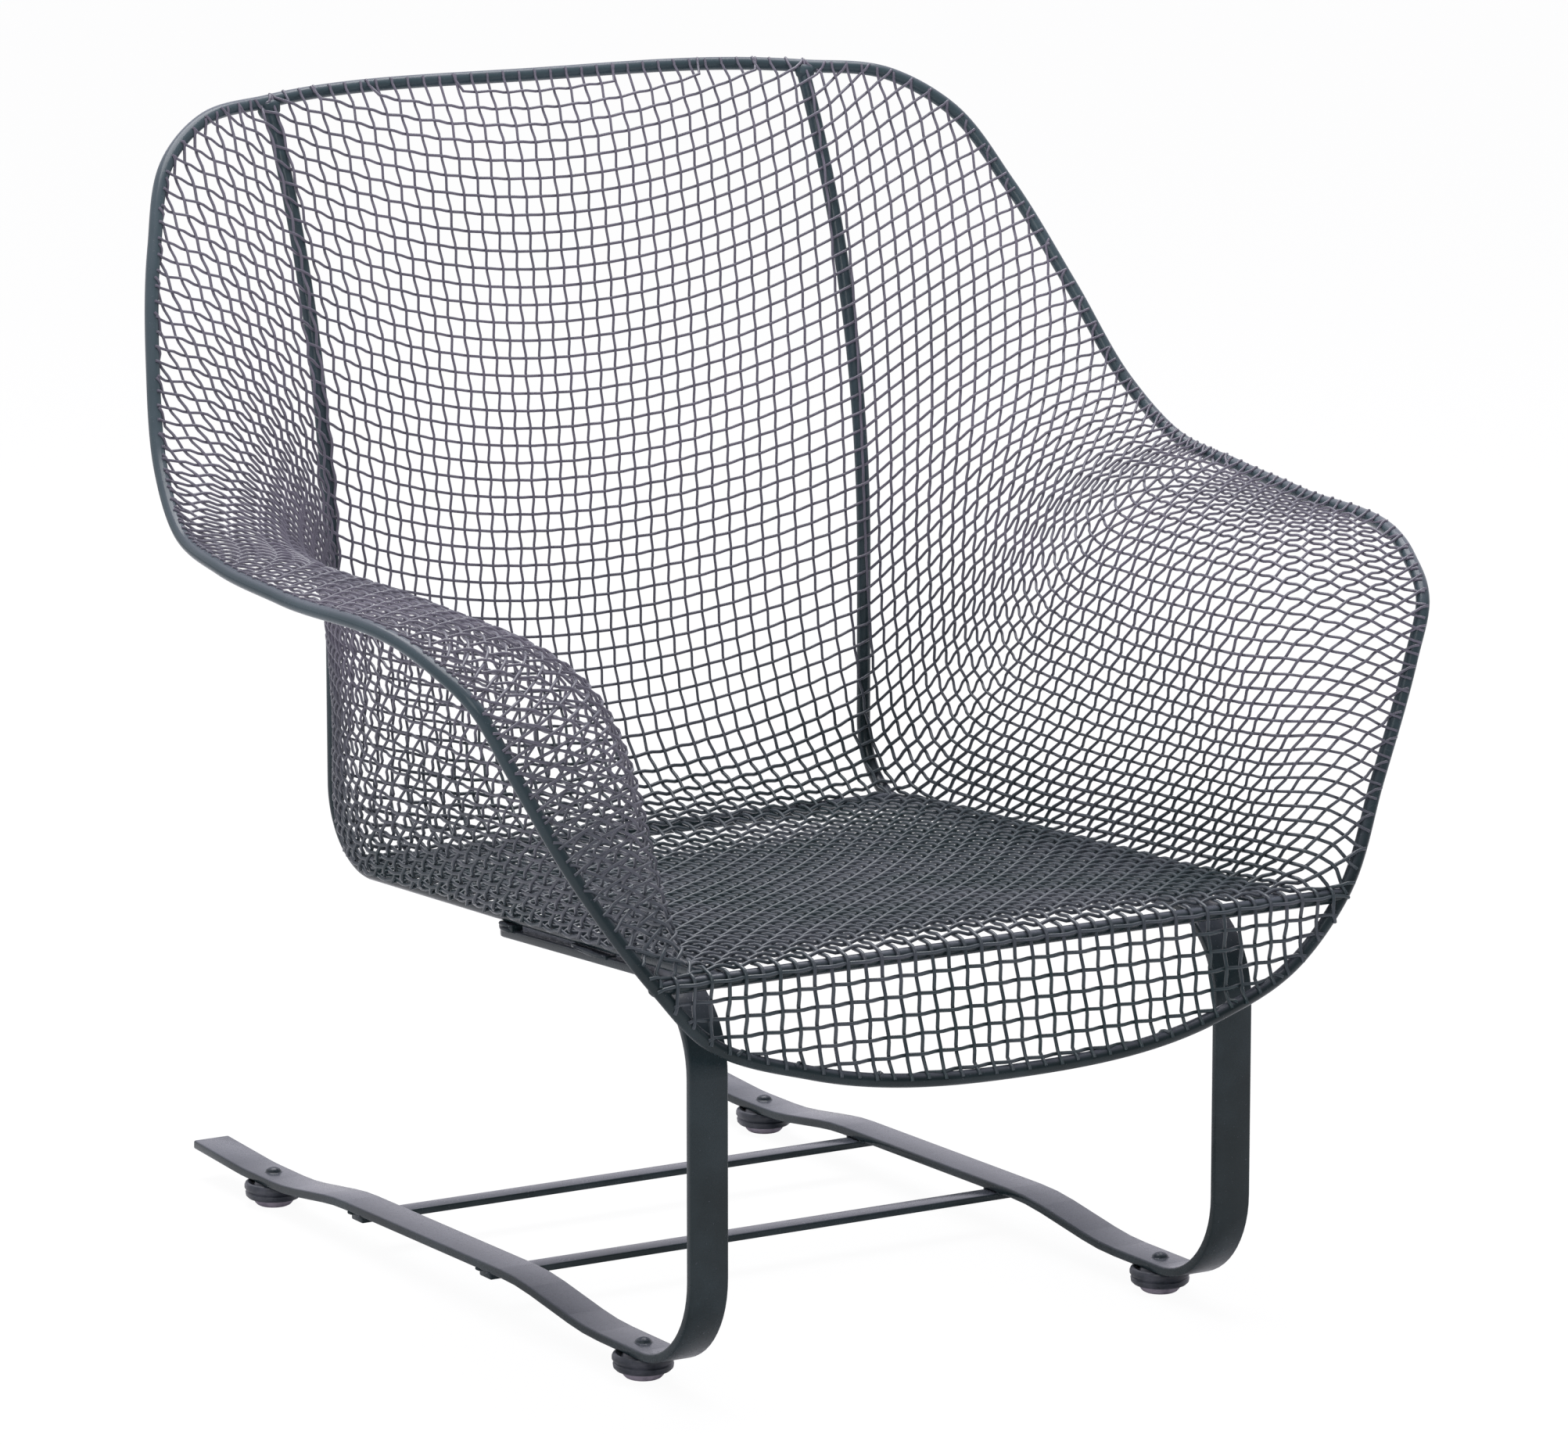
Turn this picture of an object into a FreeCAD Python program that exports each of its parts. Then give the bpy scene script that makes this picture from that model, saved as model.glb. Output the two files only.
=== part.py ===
import FreeCAD, Part
import math
import os

from FreeCAD import Placement, Rotation, Vector

# Spring patio chair: a woven wire bucket on a rod frame, carried by two flat spring bars that
# run along the floor, bend up at the front and turn back under the seat.
# Millimetres, +Z up, +X on the sitter's left, the sitter faces -Y. Right and left in the names
# are as seen from the front. The origin is on the floor under the middle of the chair.

doc = FreeCAD.newDocument("spring_patio_chair")
sheet = doc.addObject("Spreadsheet::Sheet", "sizes")

FRAME_SIZES = {
    # rods of the seat frame
    "rib_spacing": 434,
    "rod_diameter": 10,
    "rim_diameter": 9.5,
    "weld_gap": 0.3,
    # back rib and seat rail, seen from the side
    "back_line": 167,
    "rail_fall": 16,
    "rear_bend_radius": 55,
    "lean_start_height": 450,
    "lean_radius": 750,
    "back_top_height": 799,
    # crossbars
    "crossbar_forward": 360,
    "crossbar_height": 295,
    "crossbar_overhang": 50,
    "rear_crossbar_angle": 80,
    # flat spring bars
    "bar_width": 31.75,
    "bar_thickness": 6.35,
    "bar_inset": 11,
    "leg_forward": 320,
    "lower_bend_radius": 65,
    "upper_bend_radius": 75,
    "upper_run_drop": 24,
    "upper_run_end": 37,
    # floor runner, seen from the side
    "runner_rear_end": 386,
    "runner_rear_lift": 4,
    "runner_lift_start": 312,
    "rear_step_foot": 250,
    "rear_step_head": 172,
    "rear_step_rise": 9.8,
    "front_step_head": 88,
    "front_step_foot": 180,
    "front_step_rise": 12.8,
    "runner_bend_radius": 120,
    # stretchers and spacers
    "stretcher_width": 16,
    "stretcher_thickness": 5,
    "stretcher_setback": 4,
    "front_stretcher_forward": 44,
    "rear_stretcher_back": 140,
    "spacer_width": 9,
    "rear_spacer_length": 12,
    "rear_spacer_forward": 44,
    "front_spacer_length": 26,
    "front_spacer_forward": 186,
    # feet
    "front_foot_forward": 237,
    "rear_foot_back": 288,
    "pad_height": 5,
    "pad_diameter": 30,
    "pad_flare": 3,
    "collar_height": 12.5,
    "collar_diameter": 42,
    "collar_round": 2.5,
    "bolt_diameter": 8,
    "bolt_head_diameter": 11,
    "bolt_head_height": 4,
    "bolt_clearance": 0.25,
    # woven cloth
    "wire_diameter": 2,
    "pitches_between_ribs": 34,
    "pitches_per_wire": 3,
    "layer_gap": 0.4,
    "rib_clearance": 0.6,
    "warp_lead": 0.6,
}

# Rim rod, right half, each station out from the middle, back and up: along the back from the
# ribs' tops, along the arm from the floor's origin, along the apron from the front crossbar
BACK_RIM = {
    "top_middle": (0, 13, 5),
    "shoulder_inner": (280, -21, -8),
    "shoulder_outer": (316, -41, -31),
    "wing_upper": (346, -77, -86),
    "wing": (371, -122, -157),
    "wing_lower": (389, -168, -222),
}
ARM_RIM = {
    "elbow": (399, 40, 544),
    "arm_rear": (405, -31, 530),
    "arm": (402, -112, 522),
    "arm_front": (382, -271, 503),
    "corner": (368, -308, 478),
    "edge_upper": (351, -319, 442),
    "edge": (311, -337, 364),
}
APRON_RIM = {
    "apron_corner": (229, -2, -43),
    "apron_side": (159, -13, -72),
    "apron_middle": (0, -21, -89),
}
RIM_STATIONS = {**BACK_RIM, **ARM_RIM, **APRON_RIM}

# How the cloth runs from rib to rim, at shares of the rib's length from its top: along one vector
# (out, back and up) as it leaves the rib and along another as it lands on the rim. The rim shift
# is how much further along the rim it lands than its share, and the drift is how far the
# lengthwise wires have moved outwards there.
CLOTH_STATIONS = {
    "top": (0.0, 8, 0, 4, 6, 0, 4, 0, 0),
    "shoulder": (0.08, 38, 2, 22, 30, 14, 7, 13, -5),
    "upper_wing": (0.16, 54, 2, 34, 54, 28, 7, 8, -11),
    "wing": (0.25, 52, -10, 45, 78, 27, 5, 5, -15),
    "lower_wing": (0.34, 53, -40, 61, 104, 18, 2, -3, -15),
    "elbow": (0.42, 63, -80, 86, 136, 15, -4, -17, -9),
    "bend": (0.5, 70, -110, 120, 166, 30, -10, -37, 5),
    "arm": (0.58, 66, -122, 134, 188, 42, -15, -53, 3),
    "seat": (0.67, 70, -126, 116, 212, 50, -12, -69, -1),
    "fore": (0.78, 66, -108, 88, 222, 58, 8, -68, 3),
    "near": (0.88, 44, -54, 48, 158, 42, 42, -70, 3),
    "last": (0.96, 34, -12, 12, 92, 26, 38, -38, 0),
    "end": (1.0, 20, 2, 1, 24, 4, 0, 0, 0),
}
CLOTH_PARTS = ("share", "leave_out", "leave_back", "leave_up", "land_out", "land_back", "land_up",
               "rim_shift", "drift")

# Between the ribs the cloth hangs behind the ribs' plane (or crowns above the rails where
# negative) and its crosswise wires sag, both most on the middle line
HANG_STATIONS = {
    "top": (0.0, 12, 4),
    "shoulder": (0.1, 30, 24),
    "upper_back": (0.2, 41, 32),
    "back": (0.3, 43, 35),
    "lumbar": (0.4, 27, 29),
    "bend": (0.47, 9, 19),
    "crease": (0.53, -2, 9),
    "pan": (0.65, -4, 4),
    "fore": (0.8, -7, 0),
    "front": (1.0, 0, 0),
}
HANG_PARTS = ("share", "hollow", "sag")

cells = dict(FRAME_SIZES)
for station, place in RIM_STATIONS.items():
    for part, number in zip(("out", "back", "up"), place):
        cells[f"rim_{station}_{part}"] = number
for station, numbers in CLOTH_STATIONS.items():
    for part, number in zip(CLOTH_PARTS, numbers):
        cells[f"side_{station}_{part}"] = number
for station, numbers in HANG_STATIONS.items():
    for part, number in zip(HANG_PARTS, numbers):
        cells[f"middle_{station}_{part}"] = number
for row, (alias, number) in enumerate(cells.items(), start=1):
    sheet.set(f"A{row}", alias)
    sheet.set(f"B{row}", str(number))
    sheet.setAlias(f"B{row}", alias)
doc.recompute()


def size(alias):
    return float(sheet.get(alias))


nodes = []


def node(piece, label):
    """Names a finished sub-part, which is then written to its own file."""
    piece.Label = label
    nodes.append(piece)
    return piece


def bind(piece, **expressions):
    for prop, expression in expressions.items():
        piece.setExpression(prop.replace("__", "."), expression)
    return piece


def mirrored(piece, label):
    """The left-hand twin of a right-hand piece."""
    twin = doc.addObject("Part::Mirroring", label)
    twin.Source = piece
    twin.Normal = Vector(1, 0, 0)
    return twin


def bent_route(corners):
    """Edges through corner points, each corner after the first rounded by its own radius."""
    edges = []
    start = corners[0][0]
    for (before, _), (corner, radius), (after, _) in zip(corners, corners[1:], corners[2:]):
        arriving = (corner - before).normalize()
        leaving = (after - corner).normalize()
        turn = arriving.getAngle(leaving)
        tangent = radius * math.tan(turn / 2)
        first = corner - arriving * tangent
        last = corner + leaving * tangent
        inward = (leaving - arriving).normalize()
        middle = corner + inward * (radius / math.cos(turn / 2) - radius)
        if (first - start).Length > 1e-6:
            edges.append(Part.LineSegment(start, first).toShape())
        edges.append(Part.Arc(first, middle, last).toShape())
        start = last
    finish = corners[-1][0]
    if (finish - start).Length > 1e-6:
        edges.append(Part.LineSegment(start, finish).toShape())
    return edges


def swept(label, edges, section):
    """A section carried along a route of tangent lines and arcs."""
    route = doc.addObject("Part::Feature", f"{label}_route")
    route.Shape = Part.Wire(edges)
    sweep = doc.addObject("Part::Sweep", label)
    sweep.Sections = [section]
    sweep.Spine = (route, [])
    sweep.Solid = True
    return sweep


def round_section(label, edges, diameter):
    """Circle square to the start of a route, its diameter an expression."""
    circle = doc.addObject("Part::Circle", f"{label}_section")
    bind(circle, Radius=f"({diameter}) / 2")
    ahead = edges[0].tangentAt(edges[0].FirstParameter)
    circle.Placement = Placement(edges[0].valueAt(edges[0].FirstParameter),
                                 Rotation(Vector(0, 0, 1), ahead))
    return circle


def cut(label, base, tools):
    """A piece coped or drilled by other shapes."""
    group = doc.addObject("Part::Compound", f"{label}_tools")
    group.Links = tools
    result = doc.addObject("Part::Cut", f"{label}_cut")
    result.Base = base
    result.Tool = group
    return result


# Back rib and seat rail: one rod in the side plane, coped against the rim and the crossbar
rib_x = size("rib_spacing") / 2
lean = math.asin((size("back_top_height") - size("lean_start_height")) / size("lean_radius"))


def lean_point(angle):
    back = size("back_line") + size("lean_radius") * (1 - math.cos(angle))
    return Vector(rib_x, back, size("lean_start_height") + size("lean_radius") * math.sin(angle))


rib_top = lean_point(lean)
crossbar_end = Vector(rib_x + size("crossbar_overhang"),
                      -size("crossbar_forward"), size("crossbar_height"))
rail_front = Vector(rib_x, crossbar_end.y, crossbar_end.z)
rail_corner = Vector(rib_x, size("back_line"), crossbar_end.z - size("rail_fall"))
rib_edges = [Part.Arc(rib_top, lean_point(lean / 2), lean_point(0)).toShape()]
rib_edges += bent_route([(lean_point(0), 0), (rail_corner, size("rear_bend_radius")), (rail_front, 0)])

# Rim rod: the right half passes the rib's top and the crossbar's end on its way from the top
# middle to the apron's middle, in pairs of tangent arcs


def rim_place(name):
    place = Vector(*(size(f"rim_{name}_{part}") for part in ("out", "back", "up")))
    if name in BACK_RIM:
        return place + Vector(0, rib_top.y, rib_top.z)
    if name in APRON_RIM:
        return place + Vector(0, crossbar_end.y, crossbar_end.z)
    return place


rim_points = {name: rim_place(name) for name in RIM_STATIONS}
rim_order = list(rim_points)
rim_order.insert(1, "rib_top")
rim_order.insert(rim_order.index("apron_corner"), "crossbar_end")
rim_points["rib_top"] = rib_top
rim_points["crossbar_end"] = crossbar_end
stations = [rim_points[name] for name in rim_order]


def station_heading(index):
    """Rim direction at a station, weighted towards its nearer neighbour; level at the middle."""
    if index == 0:
        return Vector(1, 0, 0)
    if index == len(stations) - 1:
        return Vector(-1, 0, 0)
    before = stations[index] - stations[index - 1]
    after = stations[index + 1] - stations[index]
    return (before * (after.Length / before.Length) + after * (before.Length / after.Length)).normalize()


def tangent_arc(start, heading, finish):
    chord = finish - start
    bend = heading.getAngle(chord)
    if bend < 1e-5:
        return Part.LineSegment(start, finish).toShape()
    towards = (heading + chord / chord.Length).normalize()
    middle = start + towards * (chord.Length / 2 / math.cos(bend / 2))
    return Part.Arc(start, middle, finish).toShape()


def arc_pair(start, heading, finish, last_heading):
    """Two arcs that leave and arrive along the given directions and share a tangent between."""
    chord = finish - start
    both = heading + last_heading
    spread = 2 * (1 - heading.dot(last_heading))
    along = chord.dot(both)
    if spread < 1e-9:
        reach = chord.dot(chord) / (4 * chord.dot(last_heading))
    else:
        reach = (math.sqrt(along * along + spread * chord.dot(chord)) - along) / spread
    joint = (start + heading * reach + finish - last_heading * reach) / 2
    first = tangent_arc(start, heading, joint)
    second = tangent_arc(finish, last_heading * -1, joint)
    return [first, second]


rim_edges = []
for index in range(len(stations) - 1):
    rim_edges += arc_pair(stations[index], station_heading(index),
                          stations[index + 1], station_heading(index + 1))
rim_wire = Part.Wire(rim_edges)
rim_edges = rim_wire.OrderedEdges

rim_right = swept("rim_rod_right", rim_edges, round_section("rim", rim_edges, "sizes.rim_diameter"))
node(rim_right, "rim_rod_right")
node(mirrored(rim_right, "rim_rod_left"), "rim_rod_left")
rim_cope = swept("rim_cope", rim_edges,
                 round_section("rim_cope", rim_edges, "sizes.rim_diameter + 2 * sizes.weld_gap"))
rim_cope_left = mirrored(rim_cope, "rim_cope_left")

# Front crossbar: straight rod with both ends coped to the rim
lying_along_x = Rotation(Vector(0, 1, 0), 90)
crossbar_rod = doc.addObject("Part::Cylinder", "front_crossbar_rod")
crossbar_rod.Placement.Rotation = lying_along_x
bind(crossbar_rod, Radius="sizes.rod_diameter / 2",
     Height="sizes.rib_spacing + 2 * sizes.crossbar_overhang",
     Placement__Base__x="-sizes.rib_spacing / 2 - sizes.crossbar_overhang",
     Placement__Base__y="-sizes.crossbar_forward",
     Placement__Base__z="sizes.crossbar_height")
node(cut("front_crossbar", crossbar_rod, [rim_cope, rim_cope_left]), "front_crossbar")

crossbar_cope = doc.addObject("Part::Cylinder", "crossbar_cope")
crossbar_cope.Placement.Rotation = lying_along_x
bind(crossbar_cope, Radius="sizes.rod_diameter / 2 + sizes.weld_gap",
     Height="sizes.rib_spacing + 2 * sizes.crossbar_overhang",
     Placement__Base__x="-sizes.rib_spacing / 2 - sizes.crossbar_overhang",
     Placement__Base__y="-sizes.crossbar_forward",
     Placement__Base__z="sizes.crossbar_height")
rib_rod = swept("back_rib_rod", rib_edges, round_section("rib", rib_edges, "sizes.rod_diameter"))
rib_right = node(cut("back_rib_right", rib_rod, [rim_cope, crossbar_cope]), "back_rib_right")
node(mirrored(rib_right, "back_rib_left"), "back_rib_left")

# Rear crossbar: rod between the ribs, low in their rear bends, with both ends coped to them
bend_centre = rib_edges[2].Curve.Center
bar_angle = math.radians(size("rear_crossbar_angle"))
rear_rod = doc.addObject("Part::Cylinder", "rear_crossbar_rod")
rear_rod.Placement = Placement(
    Vector(-rib_x,
           bend_centre.y + size("rear_bend_radius") * math.cos(bar_angle),
           bend_centre.z - size("rear_bend_radius") * math.sin(bar_angle)),
    lying_along_x)
bind(rear_rod, Radius="sizes.rod_diameter / 2", Height="sizes.rib_spacing")
rib_cope = swept("rib_cope", rib_edges,
                 round_section("rib_cope", rib_edges, "sizes.rod_diameter + 2 * sizes.weld_gap"))
rib_cope_left = mirrored(rib_cope, "rib_cope_left")
node(cut("rear_crossbar", rear_rod, [rib_cope, rib_cope_left]), "rear_crossbar")

# Flat spring bar, right side: floor runner, lower bend, then leg with the run under the seat
bar_x = rib_x - size("bar_inset")
half_bar = size("bar_thickness") / 2
bar_level = size("pad_height") + size("collar_height") + half_bar
leg_y = -size("leg_forward")
bend_y = leg_y + size("lower_bend_radius")
bend_z = bar_level + size("lower_bend_radius")


def bar_point(y, z):
    return Vector(bar_x, y, z)


def flat_bar(label, corners):
    """Strip of spring steel along a route in the side plane, flat side to the route's bends."""
    edges = bent_route(corners)
    section = doc.addObject("Part::Plane", f"{label}_section")
    bind(section, Length="sizes.bar_width", Width="sizes.bar_thickness")
    ahead = edges[0].tangentAt(edges[0].FirstParameter)
    upright = Rotation(Vector(1, 0, 0), Vector(1, 0, 0).cross(ahead) * -1, ahead, "ZXY")
    corner = upright.multVec(Vector(-size("bar_width") / 2, -half_bar, 0))
    section.Placement = Placement(edges[0].valueAt(edges[0].FirstParameter) + corner, upright)
    return swept(label, edges, section)


runner_strip = flat_bar("runner_strip", [
    (bar_point(bend_y, bar_level), 0),
    (bar_point(-size("front_step_foot"), bar_level), size("runner_bend_radius")),
    (bar_point(-size("front_step_head"), bar_level + size("front_step_rise")), size("runner_bend_radius")),
    (bar_point(size("rear_step_head"), bar_level + size("rear_step_rise")), size("runner_bend_radius")),
    (bar_point(size("rear_step_foot"), bar_level), size("runner_bend_radius")),
    (bar_point(size("runner_lift_start"), bar_level), size("runner_bend_radius")),
    (bar_point(size("runner_rear_end"), bar_level + size("runner_rear_lift")), 0),
])
foot_places = {"front": -size("front_foot_forward"), "rear": size("rear_foot_back")}
bolt_holes = []
for end in foot_places:
    hole = doc.addObject("Part::Cylinder", f"bolt_hole_{end}")
    hole.Placement.Base = Vector(bar_x, foot_places[end], 0)
    bind(hole, Radius="sizes.bolt_diameter / 2 + sizes.bolt_clearance",
         Height="sizes.pad_height + sizes.collar_height + 2 * sizes.bar_thickness")
    bolt_holes.append(hole)
runner_right = node(cut("runner_right", runner_strip, bolt_holes), "runner_right")
node(mirrored(runner_right, "runner_left"), "runner_left")

bend_right = node(flat_bar("spring_bend_right", [
    (bar_point(bend_y, bar_level), 0),
    (bar_point(leg_y, bar_level), size("lower_bend_radius")),
    (bar_point(leg_y, bend_z), 0),
]), "spring_bend_right")
node(mirrored(bend_right, "spring_bend_left"), "spring_bend_left")

run_level = size("crossbar_height") - size("upper_run_drop")
leg_right = node(flat_bar("leg_bar_right", [
    (bar_point(leg_y, bend_z), 0),
    (bar_point(leg_y, run_level), size("upper_bend_radius")),
    (bar_point(-size("upper_run_end"), run_level), 0),
]), "leg_bar_right")
node(mirrored(leg_right, "leg_bar_left"), "leg_bar_left")

# Weld spacers: blocks that stand on the upper run and carry the rail a little above it
rail_slope = (rail_front.z - rail_corner.z) / (rail_corner.y - rail_front.y)


def rail_underside(y):
    centre = rail_corner.z + rail_slope * (rail_corner.y - y)
    return centre - size("rod_diameter") / 2 * math.hypot(1, rail_slope)


spacers = []
run_top = run_level + half_bar
for end in ("rear", "front"):
    block = doc.addObject("Part::Box", f"{end}_spacer")
    length = size(f"{end}_spacer_length")
    rear_face = -size(f"{end}_spacer_forward") + length / 2
    block.Placement.Base = Vector(rib_x - size("spacer_width") / 2, rear_face - length, run_top)
    bind(block, Length="sizes.spacer_width", Width=f"sizes.{end}_spacer_length")
    block.Height = rail_underside(rear_face) - size("weld_gap") - run_top
    spacers.append(block)
spacers_right = doc.addObject("Part::Compound", "bar_spacers")
spacers_right.Links = spacers
node(spacers_right, "bar_spacers_right")
node(mirrored(spacers_right, "bar_spacers_left"), "bar_spacers_left")

# Stretchers: flat bars welded under both runners
raised_length = size("rear_step_head") + size("front_step_head")
raised_slope = (size("rear_step_rise") - size("front_step_rise")) / raised_length


def runner_underside(y):
    return bar_level + size("front_step_rise") + raised_slope * (y + size("front_step_head")) - half_bar


for end, middle in (("front", -size("front_stretcher_forward")), ("rear", size("rear_stretcher_back"))):
    strip = doc.addObject("Part::Box", f"{end}_stretcher")
    edges_y = (middle - size("stretcher_width") / 2, middle + size("stretcher_width") / 2)
    top = min(runner_underside(y) for y in edges_y) - size("weld_gap")
    strip.Placement.Base = Vector(0, edges_y[0], top - size("stretcher_thickness"))
    outer_edge = "sizes.rib_spacing / 2 - sizes.bar_inset + sizes.bar_width / 2"
    half_span = f"({outer_edge} - sizes.stretcher_setback)"
    bind(strip, Length=f"2 * {half_span}", Width="sizes.stretcher_width",
         Height="sizes.stretcher_thickness", Placement__Base__x=f"-{half_span}")
    node(strip, f"{end}_stretcher")

# Feet: a pale pad, a round-edged collar and a dome-headed bolt down through the runner
bolts = []
for side, sign in (("right", 1), ("left", -1)):
    for end, foot_y in foot_places.items():
        place = Vector(sign * bar_x, foot_y, 0)
        pad = doc.addObject("Part::Cone", f"pad_{end}_{side}")
        pad.Placement.Base = place
        bind(pad, Radius1="sizes.pad_diameter / 2 - sizes.pad_flare", Radius2="sizes.pad_diameter / 2",
             Height="sizes.pad_height")
        node(pad, f"foot_pad_{end}_{side}")
        drum = doc.addObject("Part::Cylinder", f"collar_drum_{end}_{side}")
        drum.Placement.Base = place
        bind(drum, Radius="sizes.collar_diameter / 2", Height="sizes.collar_height",
             Placement__Base__z="sizes.pad_height")
        rounded = doc.addObject("Part::Fillet", f"collar_rounded_{end}_{side}")
        rounded.Base = drum
        rounded.Edges = [(edge, size("collar_round"), size("collar_round")) for edge in (1, 3)]
        bore = doc.addObject("Part::Cylinder", f"collar_bore_{end}_{side}")
        bore.Placement.Base = place
        bind(bore, Radius="sizes.bolt_diameter / 2 + sizes.bolt_clearance",
             Height="sizes.pad_height + sizes.collar_height + sizes.bar_thickness")
        node(cut(f"collar_{end}_{side}", rounded, [bore]), f"foot_collar_{end}_{side}")
        shank = doc.addObject("Part::Cylinder", f"bolt_shank_{end}_{side}")
        shank.Placement.Base = place
        bind(shank, Radius="sizes.bolt_diameter / 2",
             Height="sizes.collar_height + sizes.bar_thickness - sizes.weld_gap",
             Placement__Base__z="sizes.pad_height + sizes.weld_gap")
        head_half = size("bolt_head_diameter") / 2
        head_height = size("bolt_head_height")
        dome_radius = (head_half ** 2 + head_height ** 2) / (2 * head_height)
        dome = doc.addObject("Part::Sphere", f"bolt_dome_{end}_{side}")
        dome.Radius = dome_radius
        dome.Angle1 = math.degrees(math.asin((dome_radius - head_height) / dome_radius))
        dome.Placement.Base = place + Vector(0, 0, bar_level + half_bar + head_height - dome_radius)
        bolt = doc.addObject("Part::Fuse", f"bolt_{end}_{side}")
        bolt.Base = dome
        bolt.Tool = shank
        bolts.append(bolt)
foot_bolts = doc.addObject("Part::Compound", "bolts")
foot_bolts.Links = bolts
node(foot_bolts, "foot_bolts")
doc.recompute()


# Woven wire cloth. Crosswise wires run from rim to rim over both ribs, lengthwise wires from the
# top edge down the back, along the seat and over the front crossbar, or round the sides. Every
# wire is a square bar bent at the crossings; the lengthwise layer lies on the sitter's side.
class Track:
    """Polyline that is read by distance along it."""

    def __init__(self, points):
        self.points = points
        self.marks = [0.0]
        for before, after in zip(points, points[1:]):
            self.marks.append(self.marks[-1] + (after - before).Length)
        self.length = self.marks[-1]

    def at(self, distance):
        distance = min(max(distance, 0.0), self.length)
        low = 0
        high = len(self.marks) - 1
        while high - low > 1:
            middle = (low + high) // 2
            if self.marks[middle] <= distance:
                low = middle
            else:
                high = middle
        share = (distance - self.marks[low]) / (self.marks[high] - self.marks[low])
        return self.points[low] + (self.points[high] - self.points[low]) * share

    def heading(self, distance, reach=3.0):
        return (self.at(distance + reach) - self.at(distance - reach)).normalize()


def eased(rows, column, share):
    """Value between two rows of a table, on a curve with no corner at a row."""
    index = 0
    while index < len(rows) - 2 and share > rows[index + 1][0]:
        index += 1
    first, second = rows[index], rows[index + 1]
    before = rows[max(index - 1, 0)]
    after = rows[min(index + 2, len(rows) - 1)]
    width = second[0] - first[0]
    leave = (second[column] - before[column]) / (second[0] - before[0]) * width
    land = (after[column] - first[column]) / (after[0] - first[0]) * width
    part = min(max((share - first[0]) / width, 0.0), 1.0)
    rise = second[column] - first[column]
    return (first[column] + part * leave + part ** 2 * (3 * rise - 2 * leave - land)
            + part ** 3 * (leave + land - 2 * rise))


side_rows = [[size(f"side_{name}_{part}") for part in CLOTH_PARTS] for name in CLOTH_STATIONS]
hang_rows = [[size(f"middle_{name}_{part}") for part in HANG_PARTS] for name in HANG_STATIONS]

wire_side = size("wire_diameter") * math.sqrt(math.pi) / 2
wire_corner = wire_side / math.sqrt(2)
layer = wire_corner + size("layer_gap") / 2
lift = size("rod_diameter") / 2 + size("rib_clearance") + wire_corner + layer
step = size("pitches_per_wire") * size("rib_spacing") / size("pitches_between_ribs")

RIB_PIECES = 260
RIM_PIECES = 400
SPOKE_PIECES = 24
rib_line = Track(Part.Wire(rib_edges).discretize(Number=RIB_PIECES + 1))
rim_line = Track(rim_wire.discretize(Number=RIM_PIECES + 1))


def nearest_on_rim(place):
    return min(range(RIM_PIECES + 1), key=lambda index: (rim_line.points[index] - place).Length)


rim_from_rib = nearest_on_rim(rib_top)
rim_to_crossbar = nearest_on_rim(crossbar_end)
rim_start = rim_line.marks[rim_from_rib]
rim_span = rim_line.marks[rim_to_crossbar] - rim_start


def inner_normal(distance):
    heading = rib_line.heading(distance)
    return Vector(0, heading.z, -heading.y)


def side_value(part, distance):
    """What the side cloth's table holds for a place on the rib."""
    return eased(side_rows, CLOTH_PARTS.index(part), distance / rib_line.length)


def side_vector(end, distance):
    return Vector(*(side_value(f"{end}_{part}", distance) for part in ("out", "back", "up")))


def drifted(distance, across):
    """Where a lengthwise wire crosses a place on the rib, measured from the middle line."""
    drift = side_value("drift", distance) * min(abs(across) / rib_x, 1.0)
    return across + math.copysign(drift, across)


spokes = {}


def spoke(distance):
    """The cloth from the rib to the rim, as one curve with a handle at each end."""
    distance = min(max(distance, 0.0), rib_line.length)
    key = round(distance, 4)
    if key not in spokes:
        start = rib_line.at(distance) + inner_normal(distance) * lift
        share = distance / rib_line.length
        finish = rim_line.at(rim_start + share * rim_span + side_value("rim_shift", distance))
        curve = Part.BezierCurve()
        curve.setPoles([start, start + side_vector("leave", distance),
                        finish - side_vector("land", distance), finish])
        spokes[key] = Track([curve.value(index / SPOKE_PIECES) for index in range(SPOKE_PIECES + 1)])
    return spokes[key]


def cloth(distance, across):
    """Point of the cloth's middle surface: down the rib, and across from the middle line."""
    if abs(across) > rib_x:
        place = spoke(distance).at(abs(across) - rib_x)
        return Vector(math.copysign(place.x, across), place.y, place.z)
    share = distance / rib_line.length
    middle = 1 - (across / rib_x) ** 2
    lowered = distance + eased(hang_rows, 2, share) * middle
    hollow = eased(hang_rows, 1, share) * middle
    place = rib_line.at(lowered) + inner_normal(lowered) * (lift - hollow)
    return Vector(across, place.y, place.z)


def cloth_normal(distance, across, reach=4.0):
    """Towards the sitter."""
    along = cloth(distance + reach, across) - cloth(distance - reach, across)
    sideways = cloth(distance, across + reach) - cloth(distance, across - reach)
    return sideways.cross(along).normalize() * -1


def landing(place, before):
    """End of a wire that comes from before and lands on the rim at place, on either side."""
    towards = (before - place).normalize()
    nearest = nearest_on_rim(Vector(abs(place.x), place.y, place.z))
    heading = rim_line.heading(rim_line.marks[nearest])
    if place.x < 0:
        heading.x = -heading.x
    slant = abs(towards.dot(heading))
    square = math.sqrt(max(1 - slant * slant, 1e-4))
    reach = (size("rim_diameter") / 2 + size("weld_gap") * (1 + 2 * slant) + wire_corner * slant) / square
    return place + towards * reach


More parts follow.
